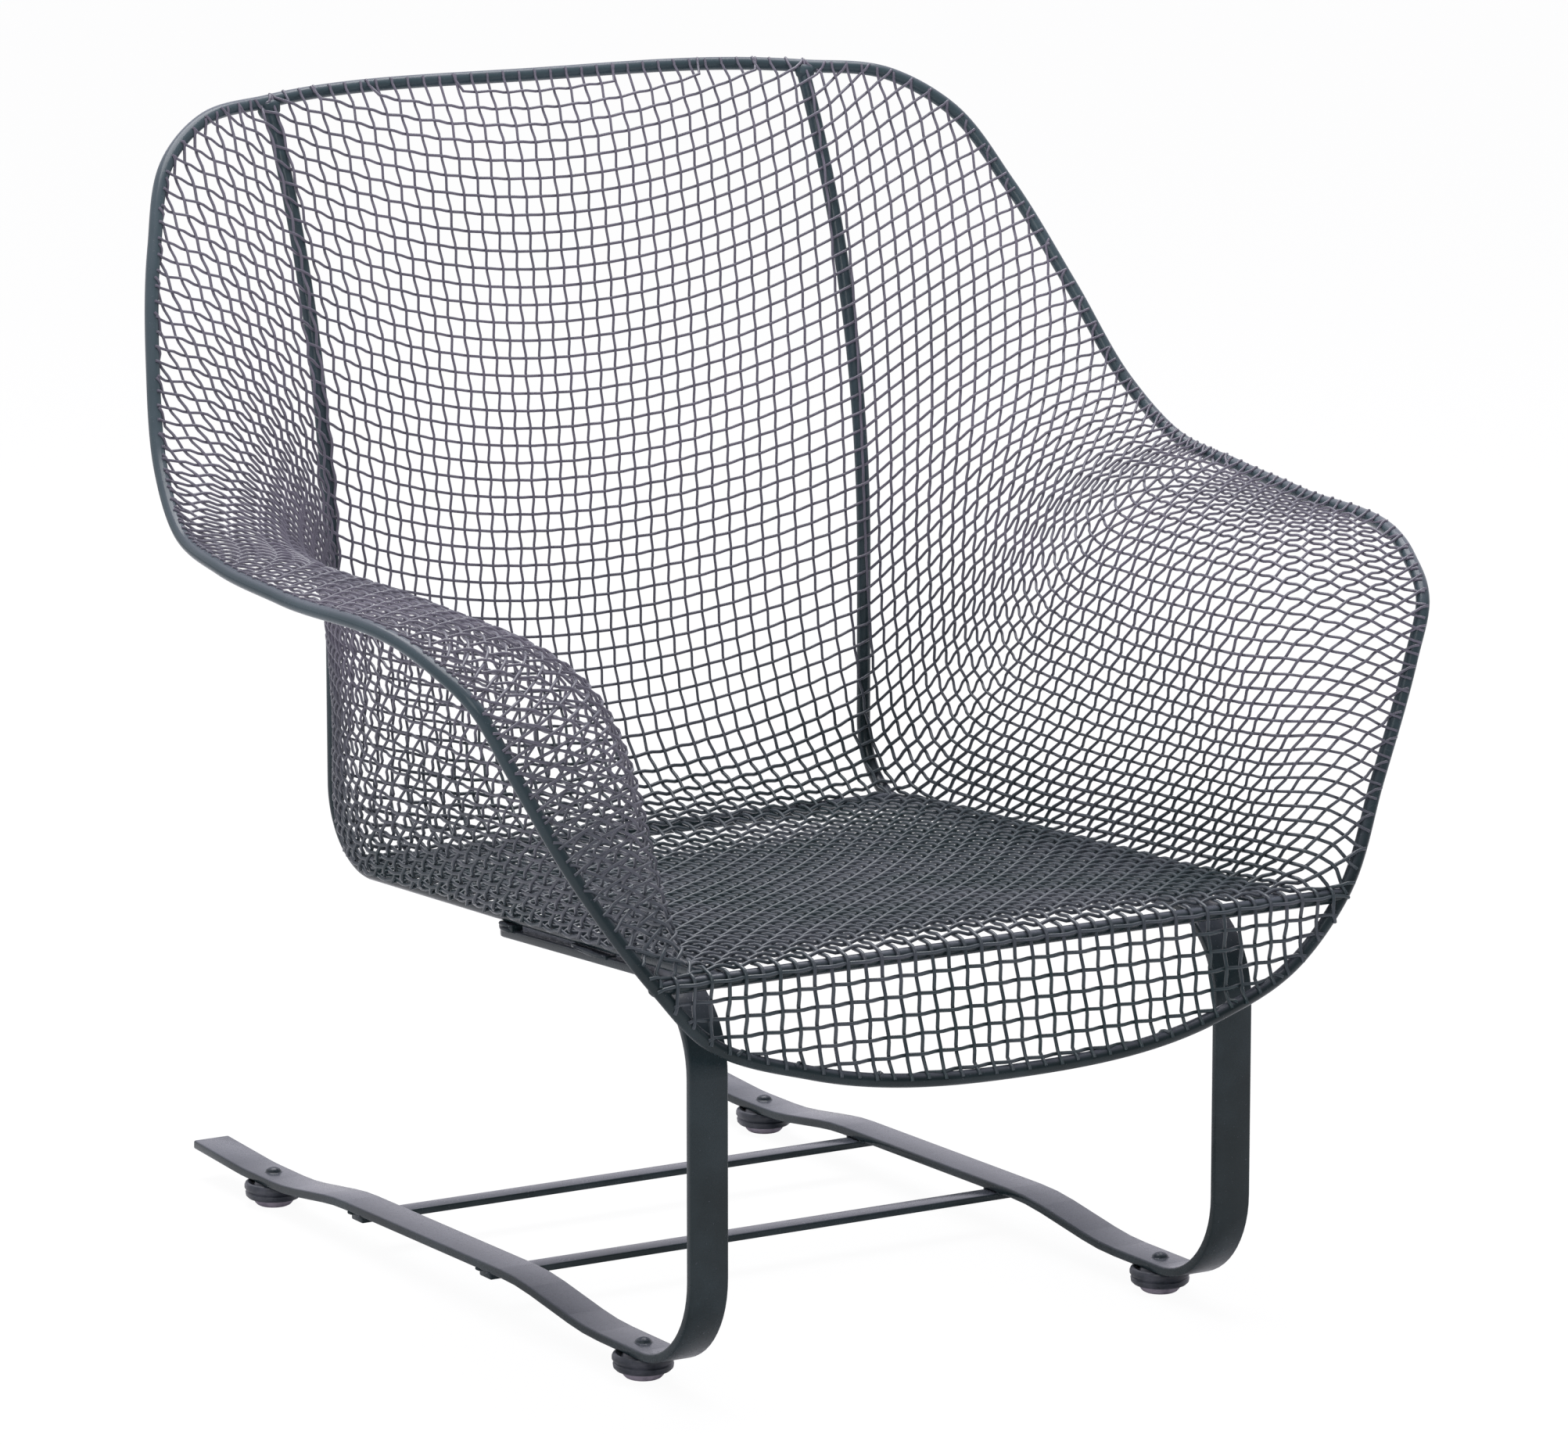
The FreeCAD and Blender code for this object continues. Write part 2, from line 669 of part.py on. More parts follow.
def landed(route, place):
    """Route ended on the rim at place, less the crossings that lie nearer to the rim than its end."""
    while True:
        end = landing(place, route[-1])
        rest = (route[-1] - place).Length - (end - place).Length
        if rest > size("wire_diameter") or len(route) == 1:
            return route + [end]
        route = route[:-1]


def landed_both(route, first_place, last_place):
    return landed(landed(route, last_place)[::-1], first_place)[::-1]


def wire(points):
    """Square bar along a polyline, mitred at every bend, with its sides flat."""
    headings = [(after - before).normalize() for before, after in zip(points, points[1:])]
    sideways = headings[0].cross(Vector(0.3, 0.5, 0.8)).normalize() * (wire_side / 2)
    upwards = headings[0].cross(sideways)
    diagonals = (sideways + upwards, upwards - sideways, -sideways - upwards, sideways - upwards)
    ring = [points[0] + diagonal for diagonal in diagonals]
    rings = [ring]
    for index, heading in enumerate(headings):
        end = points[index + 1]
        last = index == len(headings) - 1
        mitre = heading if last else (heading + headings[index + 1]).normalize()
        ring = [corner + heading * ((end - corner).dot(mitre) / heading.dot(mitre)) for corner in ring]
        rings.append(ring)
    faces = [Part.Face(Part.makePolygon(rings[0] + rings[0][:1]))]
    for before, after in zip(rings, rings[1:]):
        for a, b in ((0, 1), (1, 2), (2, 3), (3, 0)):
            side = [before[a], before[b], after[b], after[a], before[a]]
            faces.append(Part.Face(Part.makePolygon(side)))
    faces.append(Part.Face(Part.makePolygon(rings[-1] + rings[-1][:1])))
    shell = Part.makeShell(faces)
    shell.sewShape()
    solid = Part.makeSolid(shell)
    if solid.Volume < 0:
        solid.reverse()
    return solid


def wires(label, routes):
    """Group of separate wires of the cloth."""
    group = doc.addObject("Part::Feature", label)
    group.Shape = Part.makeCompound([wire(route) for route in routes])
    return node(group, label)


close = size("rim_diameter") + size("wire_diameter")
weft_places = [step * count for count in range(1, int((rib_line.length - close) / step) + 1)]
middle_lines = [step * count for count in range(-int(rib_x / step), int(rib_x / step) + 1)]
longest = max(weft_places, key=lambda distance: spoke(distance).length)
widest = rib_x + spoke(longest).length
side_lines = [step * count for count in range(int(rib_x / step) + 1, int(widest / step) + 1)]


def weft_node(distance, across):
    return cloth(distance, across) - cloth_normal(distance, across) * layer


def warp_node(distance, line):
    across = drifted(distance, line)
    return cloth(distance, across) + cloth_normal(distance, across) * layer


def weft(distance):
    """Crosswise wire from rim to rim, with a bend over each rib."""
    length = spoke(distance).length
    sides = [drifted(distance, across) for across in side_lines]
    sides = [rib_x] + [across for across in sides if close < across - rib_x < length - close]
    middle = [drifted(distance, across) for across in middle_lines]
    lines = [-across for across in reversed(sides)] + middle + sides
    rim_end = spoke(distance).at(length)
    route = [weft_node(distance, across) for across in lines]
    return landed_both(route, Vector(-rim_end.x, rim_end.y, rim_end.z), rim_end)


def apron_start(across, angle):
    """Where a lengthwise wire wraps the front crossbar, by the angle down from its top."""
    reach = (size("rod_diameter") / 2 + size("weld_gap") + wire_corner) / math.cos(math.pi / 8)
    ahead = reach * math.sin(angle)
    return Vector(across, crossbar_end.y - ahead, crossbar_end.z + reach * math.cos(angle))


def lower_rim(across):
    """Rim point under the apron at a distance from the middle line."""
    below = rim_line.points[rim_to_crossbar:]
    return min(below, key=lambda point: abs(point.x - abs(across)))


def apron_point(across, drop):
    """Point of the apron a drop below the front crossbar."""
    top = apron_start(across, math.pi / 2)
    bottom = lower_rim(across)
    share = drop / (top.z - bottom.z)
    return Vector(across, top.y + (bottom.y - top.y) * share, top.z - drop)


apron_height = crossbar_end.z - lower_rim(0).z
apron_count = int(apron_height / step)
apron_rows = [apron_height * count / (apron_count + 1) for count in range(1, apron_count + 1)]


def over_crossbar(across):
    """Lower end of a lengthwise wire: over the crossbar and down the apron to the rim."""
    route = [apron_start(across, angle) for angle in (0.0, math.pi / 4, math.pi / 2)]
    bottom = lower_rim(across)
    route += [apron_point(across, drop) for drop in apron_rows if route[-1].z - drop > bottom.z + close]
    return landed(route, Vector(across, bottom.y, bottom.z))


def middle_warp(across):
    """Lengthwise wire from the top rim down the back, along the seat and over the crossbar."""
    top = min(rim_line.points[:rim_from_rib + 1], key=lambda point: abs(point.x - abs(across)))
    route = [warp_node(distance, across) for distance in weft_places] + over_crossbar(across)
    return landed(route[::-1], Vector(across, top.y, top.z))[::-1]


def spare(distance, line):
    """Length of the cloth that is left between a lengthwise wire and the rim."""
    return spoke(distance).length - (drifted(distance, line) - rib_x)


def reached(line, low, high):
    """Place on the rib, between two others, whose lengthwise wire just meets the rim."""
    while high - low > size("weld_gap"):
        middle = (low + high) / 2
        if (spare(middle, line) > 0) == (spare(high, line) > 0):
            high = middle
        else:
            low = middle
    return (low + high) / 2


def side_warp(line):
    """Lengthwise wire beside the right rib, from the rim round to the rim or over the crossbar."""
    inside = [distance for distance in weft_places if spare(distance, line) > close]
    route = [warp_node(distance, line) for distance in inside]
    first = max(reached(line, 0.0, longest), inside[0] - size("warp_lead") * step)
    if inside[-1] == weft_places[-1] and spare(rib_line.length, line) > close:
        route += over_crossbar(line)
    else:
        ahead = min(step, rib_line.length - inside[-1])
        last = min(reached(line, longest, rib_line.length), inside[-1] + size("warp_lead") * ahead)
        route = landed(route, spoke(last).at(spoke(last).length))
    return landed(route[::-1], spoke(first).at(spoke(first).length))[::-1]


def apron_weft(drop):
    """Crosswise wire of the apron, behind its lengthwise wires."""
    level = crossbar_end.z - drop
    edge = min(rim_line.points[rim_to_crossbar:], key=lambda point: abs(point.z - level))
    lines = [across for across in middle_lines + side_lines if 0 <= across < edge.x - close]
    behind = Vector(0, 2 * layer, 0)
    right = [apron_point(across, drop) + behind for across in lines]
    left = [Vector(-point.x, point.y, point.z) for point in reversed(right[1:])]
    return landed_both(left + right, Vector(-edge.x, edge.y, edge.z), edge)


seat_start = rib_line.length - (rail_corner.y - rail_front.y)
wires("weft_wires_back", [weft(distance) for distance in weft_places if distance < seat_start])
wires("weft_wires_seat", [weft(distance) for distance in weft_places if distance >= seat_start])
wires("weft_wires_apron", [apron_weft(drop) for drop in apron_rows])
wires("warp_wires_middle", [middle_warp(across) for across in middle_lines])
reaching = [line for line in side_lines if any(spare(distance, line) > close for distance in weft_places)]
right_warps = wires("warp_wires_right", [side_warp(line) for line in reaching])
node(mirrored(right_warps, "warp_wires_left"), "warp_wires_left")

doc.recompute()
for piece in doc.Objects:
    if "Invalid" in piece.State or "Error" in piece.State:
        raise RuntimeError(f"{piece.Label} failed to build")
for piece in nodes:
    if piece.Shape.isNull() or not piece.Shape.isValid() or not piece.Shape.Solids:
        raise RuntimeError(f"{piece.Label} has no valid solid")

os.makedirs("parts", exist_ok=True)
for piece in nodes:
    piece.Shape.exportStep(f"parts/{piece.Label}.step")
    print(piece.Label, len(piece.Shape.Solids), round(piece.Shape.Volume / 1000, 2))
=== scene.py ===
import math

import bmesh
import bpy
from mathutils import Matrix, Vector, noise
from mathutils.geometry import interpolate_bezier


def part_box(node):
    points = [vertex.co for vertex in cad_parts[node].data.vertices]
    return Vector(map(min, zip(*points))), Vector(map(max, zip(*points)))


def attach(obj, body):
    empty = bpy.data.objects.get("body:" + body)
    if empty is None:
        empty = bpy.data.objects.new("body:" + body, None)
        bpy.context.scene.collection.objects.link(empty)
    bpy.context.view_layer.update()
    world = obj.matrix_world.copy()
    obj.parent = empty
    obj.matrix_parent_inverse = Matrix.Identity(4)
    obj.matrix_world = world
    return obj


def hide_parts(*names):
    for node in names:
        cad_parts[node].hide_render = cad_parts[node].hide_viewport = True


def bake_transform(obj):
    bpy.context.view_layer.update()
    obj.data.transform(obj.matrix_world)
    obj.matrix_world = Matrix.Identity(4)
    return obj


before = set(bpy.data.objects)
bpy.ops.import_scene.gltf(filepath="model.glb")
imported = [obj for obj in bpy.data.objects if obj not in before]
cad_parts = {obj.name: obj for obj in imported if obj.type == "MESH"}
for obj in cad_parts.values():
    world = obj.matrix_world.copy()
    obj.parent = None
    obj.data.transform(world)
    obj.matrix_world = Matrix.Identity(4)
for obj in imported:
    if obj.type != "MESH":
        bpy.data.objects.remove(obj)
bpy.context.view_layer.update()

# Flat spring bars, one each side: a single strip of spring steel that runs along the floor on
# two feet, bends up at the front, and turns back under the seat rail. Rolled with rounded
# edges, bent to shape, painted slate green, and welded to the rail through two spacers.


class Shade:
    """A socket of a material, on which arithmetic adds Math nodes."""

    def __init__(self, tree, socket):
        self.tree = tree
        self.socket = socket

    def node(self, kind, settings=None, output=0, **sockets):
        made = self.tree.nodes.new(kind)
        for name, setting in (settings or {}).items():
            setattr(made, name, setting)
        for name, value in sockets.items():
            key = int(name[1:]) if name[1:].isdigit() else name.replace("_", " ")
            if isinstance(value, Shade):
                self.tree.links.new(value.socket, made.inputs[key])
            else:
                made.inputs[key].default_value = value
        return Shade(self.tree, made.outputs[output] if made.outputs else None)

    def math(self, operation, first, second):
        return self.node("ShaderNodeMath", {"operation": operation}, s0=first, s1=second)

    def __add__(self, other):
        return self.math("ADD", self, other)

    __radd__ = __add__

    def __mul__(self, other):
        return self.math("MULTIPLY", self, other)

    __rmul__ = __mul__

    def __sub__(self, other):
        return self.math("SUBTRACT", self, other)

    def __rsub__(self, other):
        return self.math("SUBTRACT", other, self)

    def ramp(self, low, high):
        """0 below low, 1 above high."""
        return self.node("ShaderNodeMapRange", {"interpolation_type": "SMOOTHSTEP"},
                         Value=self, From_Min=low, From_Max=high)

    def mix(self, first, second):
        """Colour between two, by this value."""
        return self.node("ShaderNodeMix", {"data_type": "RGBA"}, output=2, s0=self, s6=first, s7=second)

    def feed(self, shader, socket):
        self.tree.links.new(self.socket, shader.inputs[socket])


def new_material(name):
    """A material, its shader, and the place on a piece at which its patterns are read."""
    material = bpy.data.materials.new(name)
    material.use_nodes = True
    tree = material.node_tree
    place = Shade(tree, tree.nodes.new("ShaderNodeTexCoord").outputs["Object"])
    return material, tree.nodes["Principled BSDF"], place


def paint(name, deep, pale_and_lit, dust_and_sheen, gloss, grain, shine):
    """Thick paint: paler higher up as painted light, darker low down as painted shade, clouded, with dust
    and a painted sheen on top faces, pale specks, and slow runs.
    """
    material, shader, place = new_material(name)
    shader.inputs["Specular IOR Level"].default_value = shine
    clouds = place.node("ShaderNodeTexNoise", Vector=place, Scale=11.0, Detail=5.0, Roughness=0.6)
    specks = place.node("ShaderNodeTexNoise", Vector=place, Scale=420.0, Detail=3.0, Roughness=0.7)
    skin = place.node("ShaderNodeTexNoise", Vector=place, Scale=grain, Detail=2.0)
    runs = place.node("ShaderNodeTexNoise", Vector=place, Scale=70.0, Detail=2.0)
    facing = place.node("ShaderNodeNewGeometry", output=1)
    upward = place.node("ShaderNodeSeparateXYZ", output=2, Vector=facing).ramp(0.35, 1.0)
    height = place.node("ShaderNodeSeparateXYZ", output=2, Vector=place)
    # Paler higher up: painted light and painted lavender reflection that the back, wings and rim catch;
    # darker low in the seat as painted shade. The clouds add a random tone.
    lit_and_clouded = height.ramp(0.26, 0.54) * 0.75 + clouds.ramp(0.35, 0.7) * 0.25
    colour = lit_and_clouded.mix(deep, pale_and_lit)
    # On upward faces the colour goes towards the top colour, which is partly dust and partly a painted
    # sheen of the bright surround.
    top_dust_and_sheen = upward * (0.25 + 0.5 * clouds)
    colour = top_dust_and_sheen.mix(colour, dust_and_sheen)
    colour = (specks.ramp(0.66, 0.74) * 0.35).mix(colour, dust_and_sheen)
    colour.feed(shader, "Base Color")
    rough = gloss + 0.16 * clouds + 0.1 * specks.ramp(0.5, 0.7)
    rough.feed(shader, "Roughness")
    bump = place.node("ShaderNodeBump", Strength=0.22, Distance=0.0004, Height=skin * 0.6 + runs)
    bump.feed(shader, "Normal")
    return material


# The paler colour is painted light caught higher up; the top colour is dust with a painted lavender sheen.
frame_paint = paint("slate_paint", deep=(0.008, 0.017, 0.019, 1), pale_and_lit=(0.070, 0.105, 0.122, 1),
                    dust_and_sheen=(0.150, 0.155, 0.195, 1), gloss=0.12, grain=900.0, shine=0.32)


def finished(name, bm, material, smooth_below=40):
    """A mesh built in place becomes a named piece, smooth except at its sharp edges."""
    bmesh.ops.remove_doubles(bm, verts=bm.verts, dist=1e-6)
    bmesh.ops.recalc_face_normals(bm, faces=bm.faces)
    mesh = bpy.data.meshes.new(name)
    for face in bm.faces:
        face.smooth = True
    for edge in bm.edges:
        edge.smooth = len(edge.link_faces) == 2 and edge.calc_face_angle() < math.radians(smooth_below)
    bm.to_mesh(mesh)
    bm.free()
    mesh.materials.append(material)
    piece = bpy.data.objects.new(name, mesh)
    bpy.context.collection.objects.link(piece)
    return piece


bar_width = 0.0286
bar_thickness = 0.00635
bar_edge_round = 0.0014
bend_step = math.radians(6)
square_corner = math.radians(60)
right_runner_cut = 0.012
runner_end_lift = 0.0040
runner_lift_y = 0.312
rear_step_foot_y = 0.250
rear_step_head_y = 0.172
rear_step_rise = 0.0098
front_step_head_y = -0.088
front_step_foot_y = -0.180
front_step_rise = 0.0128
runner_bend_radius = 0.280
lower_bend_radius = 0.065
upper_bend_radius = 0.060
upper_rise = 0.050
upper_end_gap = 0.028
upper_end_round = 0.011
upper_end_slack = 0.001
runner_lo, runner_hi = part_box("runner_right")
leg_lo, leg_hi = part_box("leg_bar_right")
bar_x = (runner_lo.x + runner_hi.x) / 2
bar_level = runner_lo.z + bar_thickness / 2
leg_y = leg_lo.y + bar_thickness / 2
upper_end = leg_hi.y - upper_end_gap
upper_level = leg_hi.z - bar_thickness / 2
upper_corner = upper_level + (upper_end - leg_y) * upper_rise


def lifted(y, rise, radius):
    """A corner of the floor runner, raised a little off its lowest level, and its bend."""
    return Vector((0, y, bar_level + rise)), radius


bar_route = [
    lifted(runner_lift_y, 0.0, runner_bend_radius),
    lifted(rear_step_foot_y, 0.0, runner_bend_radius),
    lifted(rear_step_head_y, rear_step_rise, runner_bend_radius),
    lifted(front_step_head_y, front_step_rise, runner_bend_radius),
    lifted(front_step_foot_y, 0.0, runner_bend_radius),
    lifted(leg_y, 0.0, lower_bend_radius),
    (Vector((0, leg_y, upper_corner)), upper_bend_radius),
    (Vector((0, upper_end, upper_level)), 0),
]


def bent_strip(route, middle, width, thickness):
    """A flat strip pushed along straight runs and spun round each corner of its route."""
    bm = bmesh.new()
    ahead = (route[1][0] - route[0][0]).normalized()
    turn = Vector((0, 0, 1)).rotation_difference(ahead).to_matrix().to_4x4()
    square = bmesh.ops.create_grid(bm, x_segments=1, y_segments=1, size=0.5)["verts"]
    bmesh.ops.scale(bm, verts=square, vec=(width, thickness, 1))
    bmesh.ops.transform(bm, verts=square, matrix=Matrix.Translation(route[0][0] + middle) @ turn)
    end = list(bm.faces)
    start = route[0][0]

    def run(distance, heading):
        nonlocal end
        pushed = bmesh.ops.extrude_face_region(bm, geom=end)["geom"]
        bmesh.ops.translate(bm, vec=heading * distance,
                            verts=[part for part in pushed if isinstance(part, bmesh.types.BMVert)])
        end = [part for part in pushed if isinstance(part, bmesh.types.BMFace)]

    for (before, _), (corner, radius), (after, _) in zip(route, route[1:], route[2:]):
        arriving = (corner - before).normalized()
        leaving = (after - corner).normalized()
        angle = arriving.angle(leaving)
        axis = arriving.cross(leaving).normalized()
        tangent = radius * math.tan(angle / 2)
        run((corner - arriving * tangent - start).length, arriving)
        inward = axis.cross(arriving)
        centre = corner - arriving * tangent + inward * radius + middle
        spun = bmesh.ops.spin(bm, geom=end, cent=centre, axis=axis, angle=angle,
                              steps=max(2, round(angle / bend_step)))["geom_last"]
        end = [part for part in spun if isinstance(part, bmesh.types.BMFace)]
        start = corner + leaving * tangent
    heading = (route[-1][0] - route[-2][0]).normalized()
    run((route[-1][0] - start).length, heading)
    return bm


for side, sign, cut in (("right", 1, right_runner_cut), ("left", -1, 0.0)):
    route = [lifted(runner_hi.y - cut, runner_end_lift, 0)] + bar_route
    bm = bent_strip(route, Vector((sign * bar_x, 0, 0)), bar_width, bar_thickness)
    bmesh.ops.recalc_face_normals(bm, faces=bm.faces)
    end_corners = [edge for edge in bm.edges
                   if all(abs(vert.co.y - upper_end) < upper_end_slack and vert.co.z > leg_lo.z
                          for vert in edge.verts)
                   and abs(edge.verts[0].co.z - edge.verts[1].co.z) > bar_thickness / 2]
    bmesh.ops.bevel(bm, geom=end_corners, offset=upper_end_round, segments=5, profile=0.5,
                    affect="EDGES", material=-1)
    long_edges = [edge for edge in bm.edges
                  if len(edge.link_faces) == 2 and edge.calc_face_angle() > square_corner]
    bmesh.ops.bevel(bm, geom=long_edges, offset=bar_edge_round, segments=3, profile=0.5,
                    affect="EDGES", material=-1)
    bar = finished(f"spring_bar_{side}", bm, frame_paint)
    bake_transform(bar)
    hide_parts(f"runner_{side}", f"spring_bend_{side}", f"leg_bar_{side}")

# Stretchers: two flat steel bars laid under the runners to hold them apart, their ends a little
# short of the runners' outer edges and welded along both sides.
stretcher_edge_round = 0.0011
for end in ("front", "rear"):
    low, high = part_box(f"{end}_stretcher")
    bm = bmesh.new()
    bmesh.ops.create_cube(bm, size=1)
    bmesh.ops.scale(bm, verts=bm.verts, vec=high - low)
    bmesh.ops.translate(bm, verts=bm.verts, vec=(low + high) / 2)
    bmesh.ops.bevel(bm, geom=bm.edges[:], offset=stretcher_edge_round, segments=3, profile=0.5,
                    affect="EDGES", material=-1)
    stretcher = finished(f"stretcher_{end}", bm, frame_paint)
    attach(stretcher, "base")
    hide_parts(f"{end}_stretcher")

bead_ripple = 0.28
bead_ripple_scale = 2.3


def weld_bead(bm, place, sizes, seed):
    """A lump of weld metal, rippled by the way it was laid."""
    lump = bmesh.ops.create_icosphere(bm, subdivisions=2, radius=1)["verts"]
    for vert in lump:
        vert.co *= 1 + bead_ripple * noise.noise(vert.co * bead_ripple_scale + Vector((seed, 0, 0)))
    bmesh.ops.scale(bm, verts=lump, vec=sizes)
    bmesh.ops.translate(bm, verts=lump, vec=place)


stretcher_bead = (0.0062, 0.0027, 0.0024)
stretcher_bead_rise = 0.0002
bead_spacing_share = 0.3
bm = bmesh.new()
for end in ("front", "rear"):
    low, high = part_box(f"{end}_stretcher")
    for sign in (-1, 1):
        for edge, y in enumerate((low.y, high.y)):
            for step in range(3):
                x = sign * (bar_x + bar_width * (step - 1) * bead_spacing_share)
                weld_bead(bm, Vector((x, y, high.z + stretcher_bead_rise)), stretcher_bead,
                          x * 90 + edge + step)
beads = finished("stretcher_welds", bm, frame_paint)
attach(beads, "base")

# Feet: a pale worn glide, a dark moulded collar with a dished top, and a dome-headed bolt that
# comes down through the runner and holds both.


def turned(bm, profile, centre, steps=40):
    """A round piece turned from half its outline, from the axis to the axis or as a ring."""
    verts = [bm.verts.new(Vector((radius, 0, z)) + centre) for radius, z in profile]
    edges = [bm.edges.new(pair) for pair in zip(verts, verts[1:])]
    bmesh.ops.spin(bm, geom=verts + edges, cent=centre, axis=(0, 0, 1), angle=math.tau, steps=steps,
                   use_merge=True)


def moulded(name, deep, worn, rough, scale):
    """Moulded foot material: scuffed patches in a plain colour, with a faint pebble."""
    material, shader, place = new_material(name)
    scuffs = place.node("ShaderNodeTexNoise", Vector=place, Scale=scale, Detail=6.0, Roughness=0.65)
    pebble = place.node("ShaderNodeTexNoise", Vector=place, Scale=1500.0, Detail=2.0)
    scuffs.ramp(0.42, 0.68).mix(deep, worn).feed(shader, "Base Color")
    (rough + 0.3 * scuffs).feed(shader, "Roughness")
    bump = place.node("ShaderNodeBump", Strength=0.25, Distance=0.0003, Height=pebble + scuffs)
    bump.feed(shader, "Normal")
    return material


collar_black = moulded("collar_moulding", (0.026, 0.032, 0.042, 1), (0.070, 0.075, 0.092, 1), 0.16, 60.0)
glide_pale = moulded("glide_pale", (0.50, 0.45, 0.52, 1), (0.28, 0.25, 0.31, 1), 0.35, 90.0)
collar_bore = 0.0042
collar_boss = 0.014
for side in ("right", "left"):
    for end in ("front", "rear"):
        low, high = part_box(f"foot_pad_{end}_{side}")
        centre = Vector(((low.x + high.x) / 2, (low.y + high.y) / 2, 0))
        pad_top = high.z
        pad_radius = (high.x - low.x) / 2
        bm = bmesh.new()
        turned(bm, [(0, 0.0006), (0.008, 0.0), (pad_radius - 0.0042, 0.0), (pad_radius - 0.0028, 0.0007),
                    (pad_radius - 0.0014, 0.0022), (pad_radius - 0.0002, pad_top - 0.0006),
                    (pad_radius, pad_top), (0, pad_top)], centre)
        glide = finished(f"glide_{end}_{side}", bm, glide_pale)
        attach(glide, "base")
        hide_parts(f"foot_pad_{end}_{side}")

        low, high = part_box(f"foot_collar_{end}_{side}")
        radius = (high.x - low.x) / 2
        bm = bmesh.new()
        turned(bm, [(collar_bore, low.z), (radius - 0.0052, low.z), (radius - 0.0026, low.z + 0.0006),
                    (radius - 0.0010, low.z + 0.0022), (radius - 0.0006, low.z + 0.0048),
                    (radius - 0.0014, low.z + 0.0056), (radius - 0.0010, low.z + 0.0066),
                    (radius, low.z + 0.0080), (radius, high.z - 0.0024), (radius - 0.0008, high.z - 0.0008),
                    (radius - 0.0024, high.z - 0.0002), (radius - 0.0040, high.z - 0.0012),
                    (collar_boss + 0.0008, high.z - 0.0026), (collar_boss, high.z - 0.0014),
                    (collar_boss - 0.0008, high.z), (collar_bore, high.z), (collar_bore, low.z)], centre)
        collar = finished(f"collar_{end}_{side}", bm, collar_black)
        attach(collar, "base")
        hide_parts(f"foot_collar_{end}_{side}")

bolt_lo, bolt_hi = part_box("foot_bolts")
bolt_shank_radius = 0.004
bolt_head_radius = 0.0058
bolt_head_bite = 0.0002
dome_step = math.radians(11.25)
bar_top = bar_level + bar_thickness / 2
bm = bmesh.new()
for sign in (-1, 1):
    for end in ("front", "rear"):
        low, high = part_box(f"foot_pad_{end}_right")
        shank = [(0, bolt_lo.z), (bolt_shank_radius, bolt_lo.z),
                 (bolt_shank_radius, bar_top - bolt_head_bite)]
        skirt = [(bolt_head_radius + 0.0012, bar_top - bolt_head_bite),
                 (bolt_head_radius + 0.0004, bar_top + 0.0003)]
        dome = [(bolt_head_radius * math.cos(step * dome_step),
                 bar_top + (bolt_hi.z - bar_top) * math.sin(step * dome_step)) for step in range(1, 8)]
        turned(bm, shank + skirt + dome + [(0, bolt_hi.z)],
               Vector((sign * bar_x, (low.y + high.y) / 2, 0)), steps=28)
bolts = finished("dome_bolts", bm, frame_paint)
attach(bolts, "base")
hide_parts("foot_bolts")

# Back ribs and seat rails: one steel rod each side, leaning back at the top, bent forward low
# behind the sitter, and welded to the rim above and the front crossbar ahead.


class Line:
    """A smooth line read by the distance along it."""

    def __init__(self, points):
        self.points = points
        self.marks = [0.0]
        for before, after in zip(points, points[1:]):
            self.marks.append(self.marks[-1] + (after - before).length)
        self.length = self.marks[-1]

    def at(self, distance):
        distance = min(max(distance, 0.0), self.length)
        low = 0
        high = len(self.marks) - 1
        while high - low > 1:
            middle = (low + high) // 2
            if self.marks[middle] <= distance:
                low = middle
            else:
                high = middle
        share = (distance - self.marks[low]) / (self.marks[high] - self.marks[low])
        return self.points[low].lerp(self.points[high], share)

    def heading(self, distance, reach=0.003):
        return (self.at(distance + reach) - self.at(distance - reach)).normalized()

    def nearest(self, place):
        index = min(range(len(self.points)), key=lambda index: (self.points[index] - place).length)
        return self.marks[index]


def rods(name, routes, radius, facets, material, swell=None):
    """Round rods or wires along given routes, as one mesh, thicker where swell says so of a place."""
    curve = bpy.data.curves.new(name, "CURVE")
    curve.dimensions = "3D"
    curve.bevel_depth = radius
    curve.bevel_resolution = facets // 2 - 2
    curve.use_fill_caps = True
    for route in routes:
        line = curve.splines.new("POLY")
        line.points.add(len(route) - 1)
        for point, place in zip(line.points, route):
            point.co = (*place, 1)
            if swell:
                point.radius = swell(place)
    drawn = bpy.data.objects.new(f"{name}_drawn", curve)
    mesh = bpy.data.meshes.new_from_object(drawn)
    bpy.data.objects.remove(drawn)
    bpy.data.curves.remove(curve)
    mesh.materials.clear()
    mesh.materials.append(material)
    piece = bpy.data.objects.new(name, mesh)
    bpy.context.collection.objects.link(piece)
    return piece


def mirrored(points):
    """The same line on the other side of the chair."""
    return [Vector((-point.x, point.y, point.z)) for point in points]


rod_radius = 0.005
rod_facets = 16
rail_lo, rail_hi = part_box("back_rib_right")
crossbar_lo, crossbar_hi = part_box("front_crossbar")
rib_x = (rail_lo.x + rail_hi.x) / 2
crossbar_y = (crossbar_lo.y + crossbar_hi.y) / 2
crossbar_z = (crossbar_lo.z + crossbar_hi.z) / 2
back_line = 0.167
rail_fall = 0.016
rail_corner_height = crossbar_z - rail_fall
rear_bend_radius = 0.055
lean_start_height = 0.450
lean_radius = 0.750
back_top_height = 0.799
lean_steps = 60
bend_steps = 24
rail_steps = 40

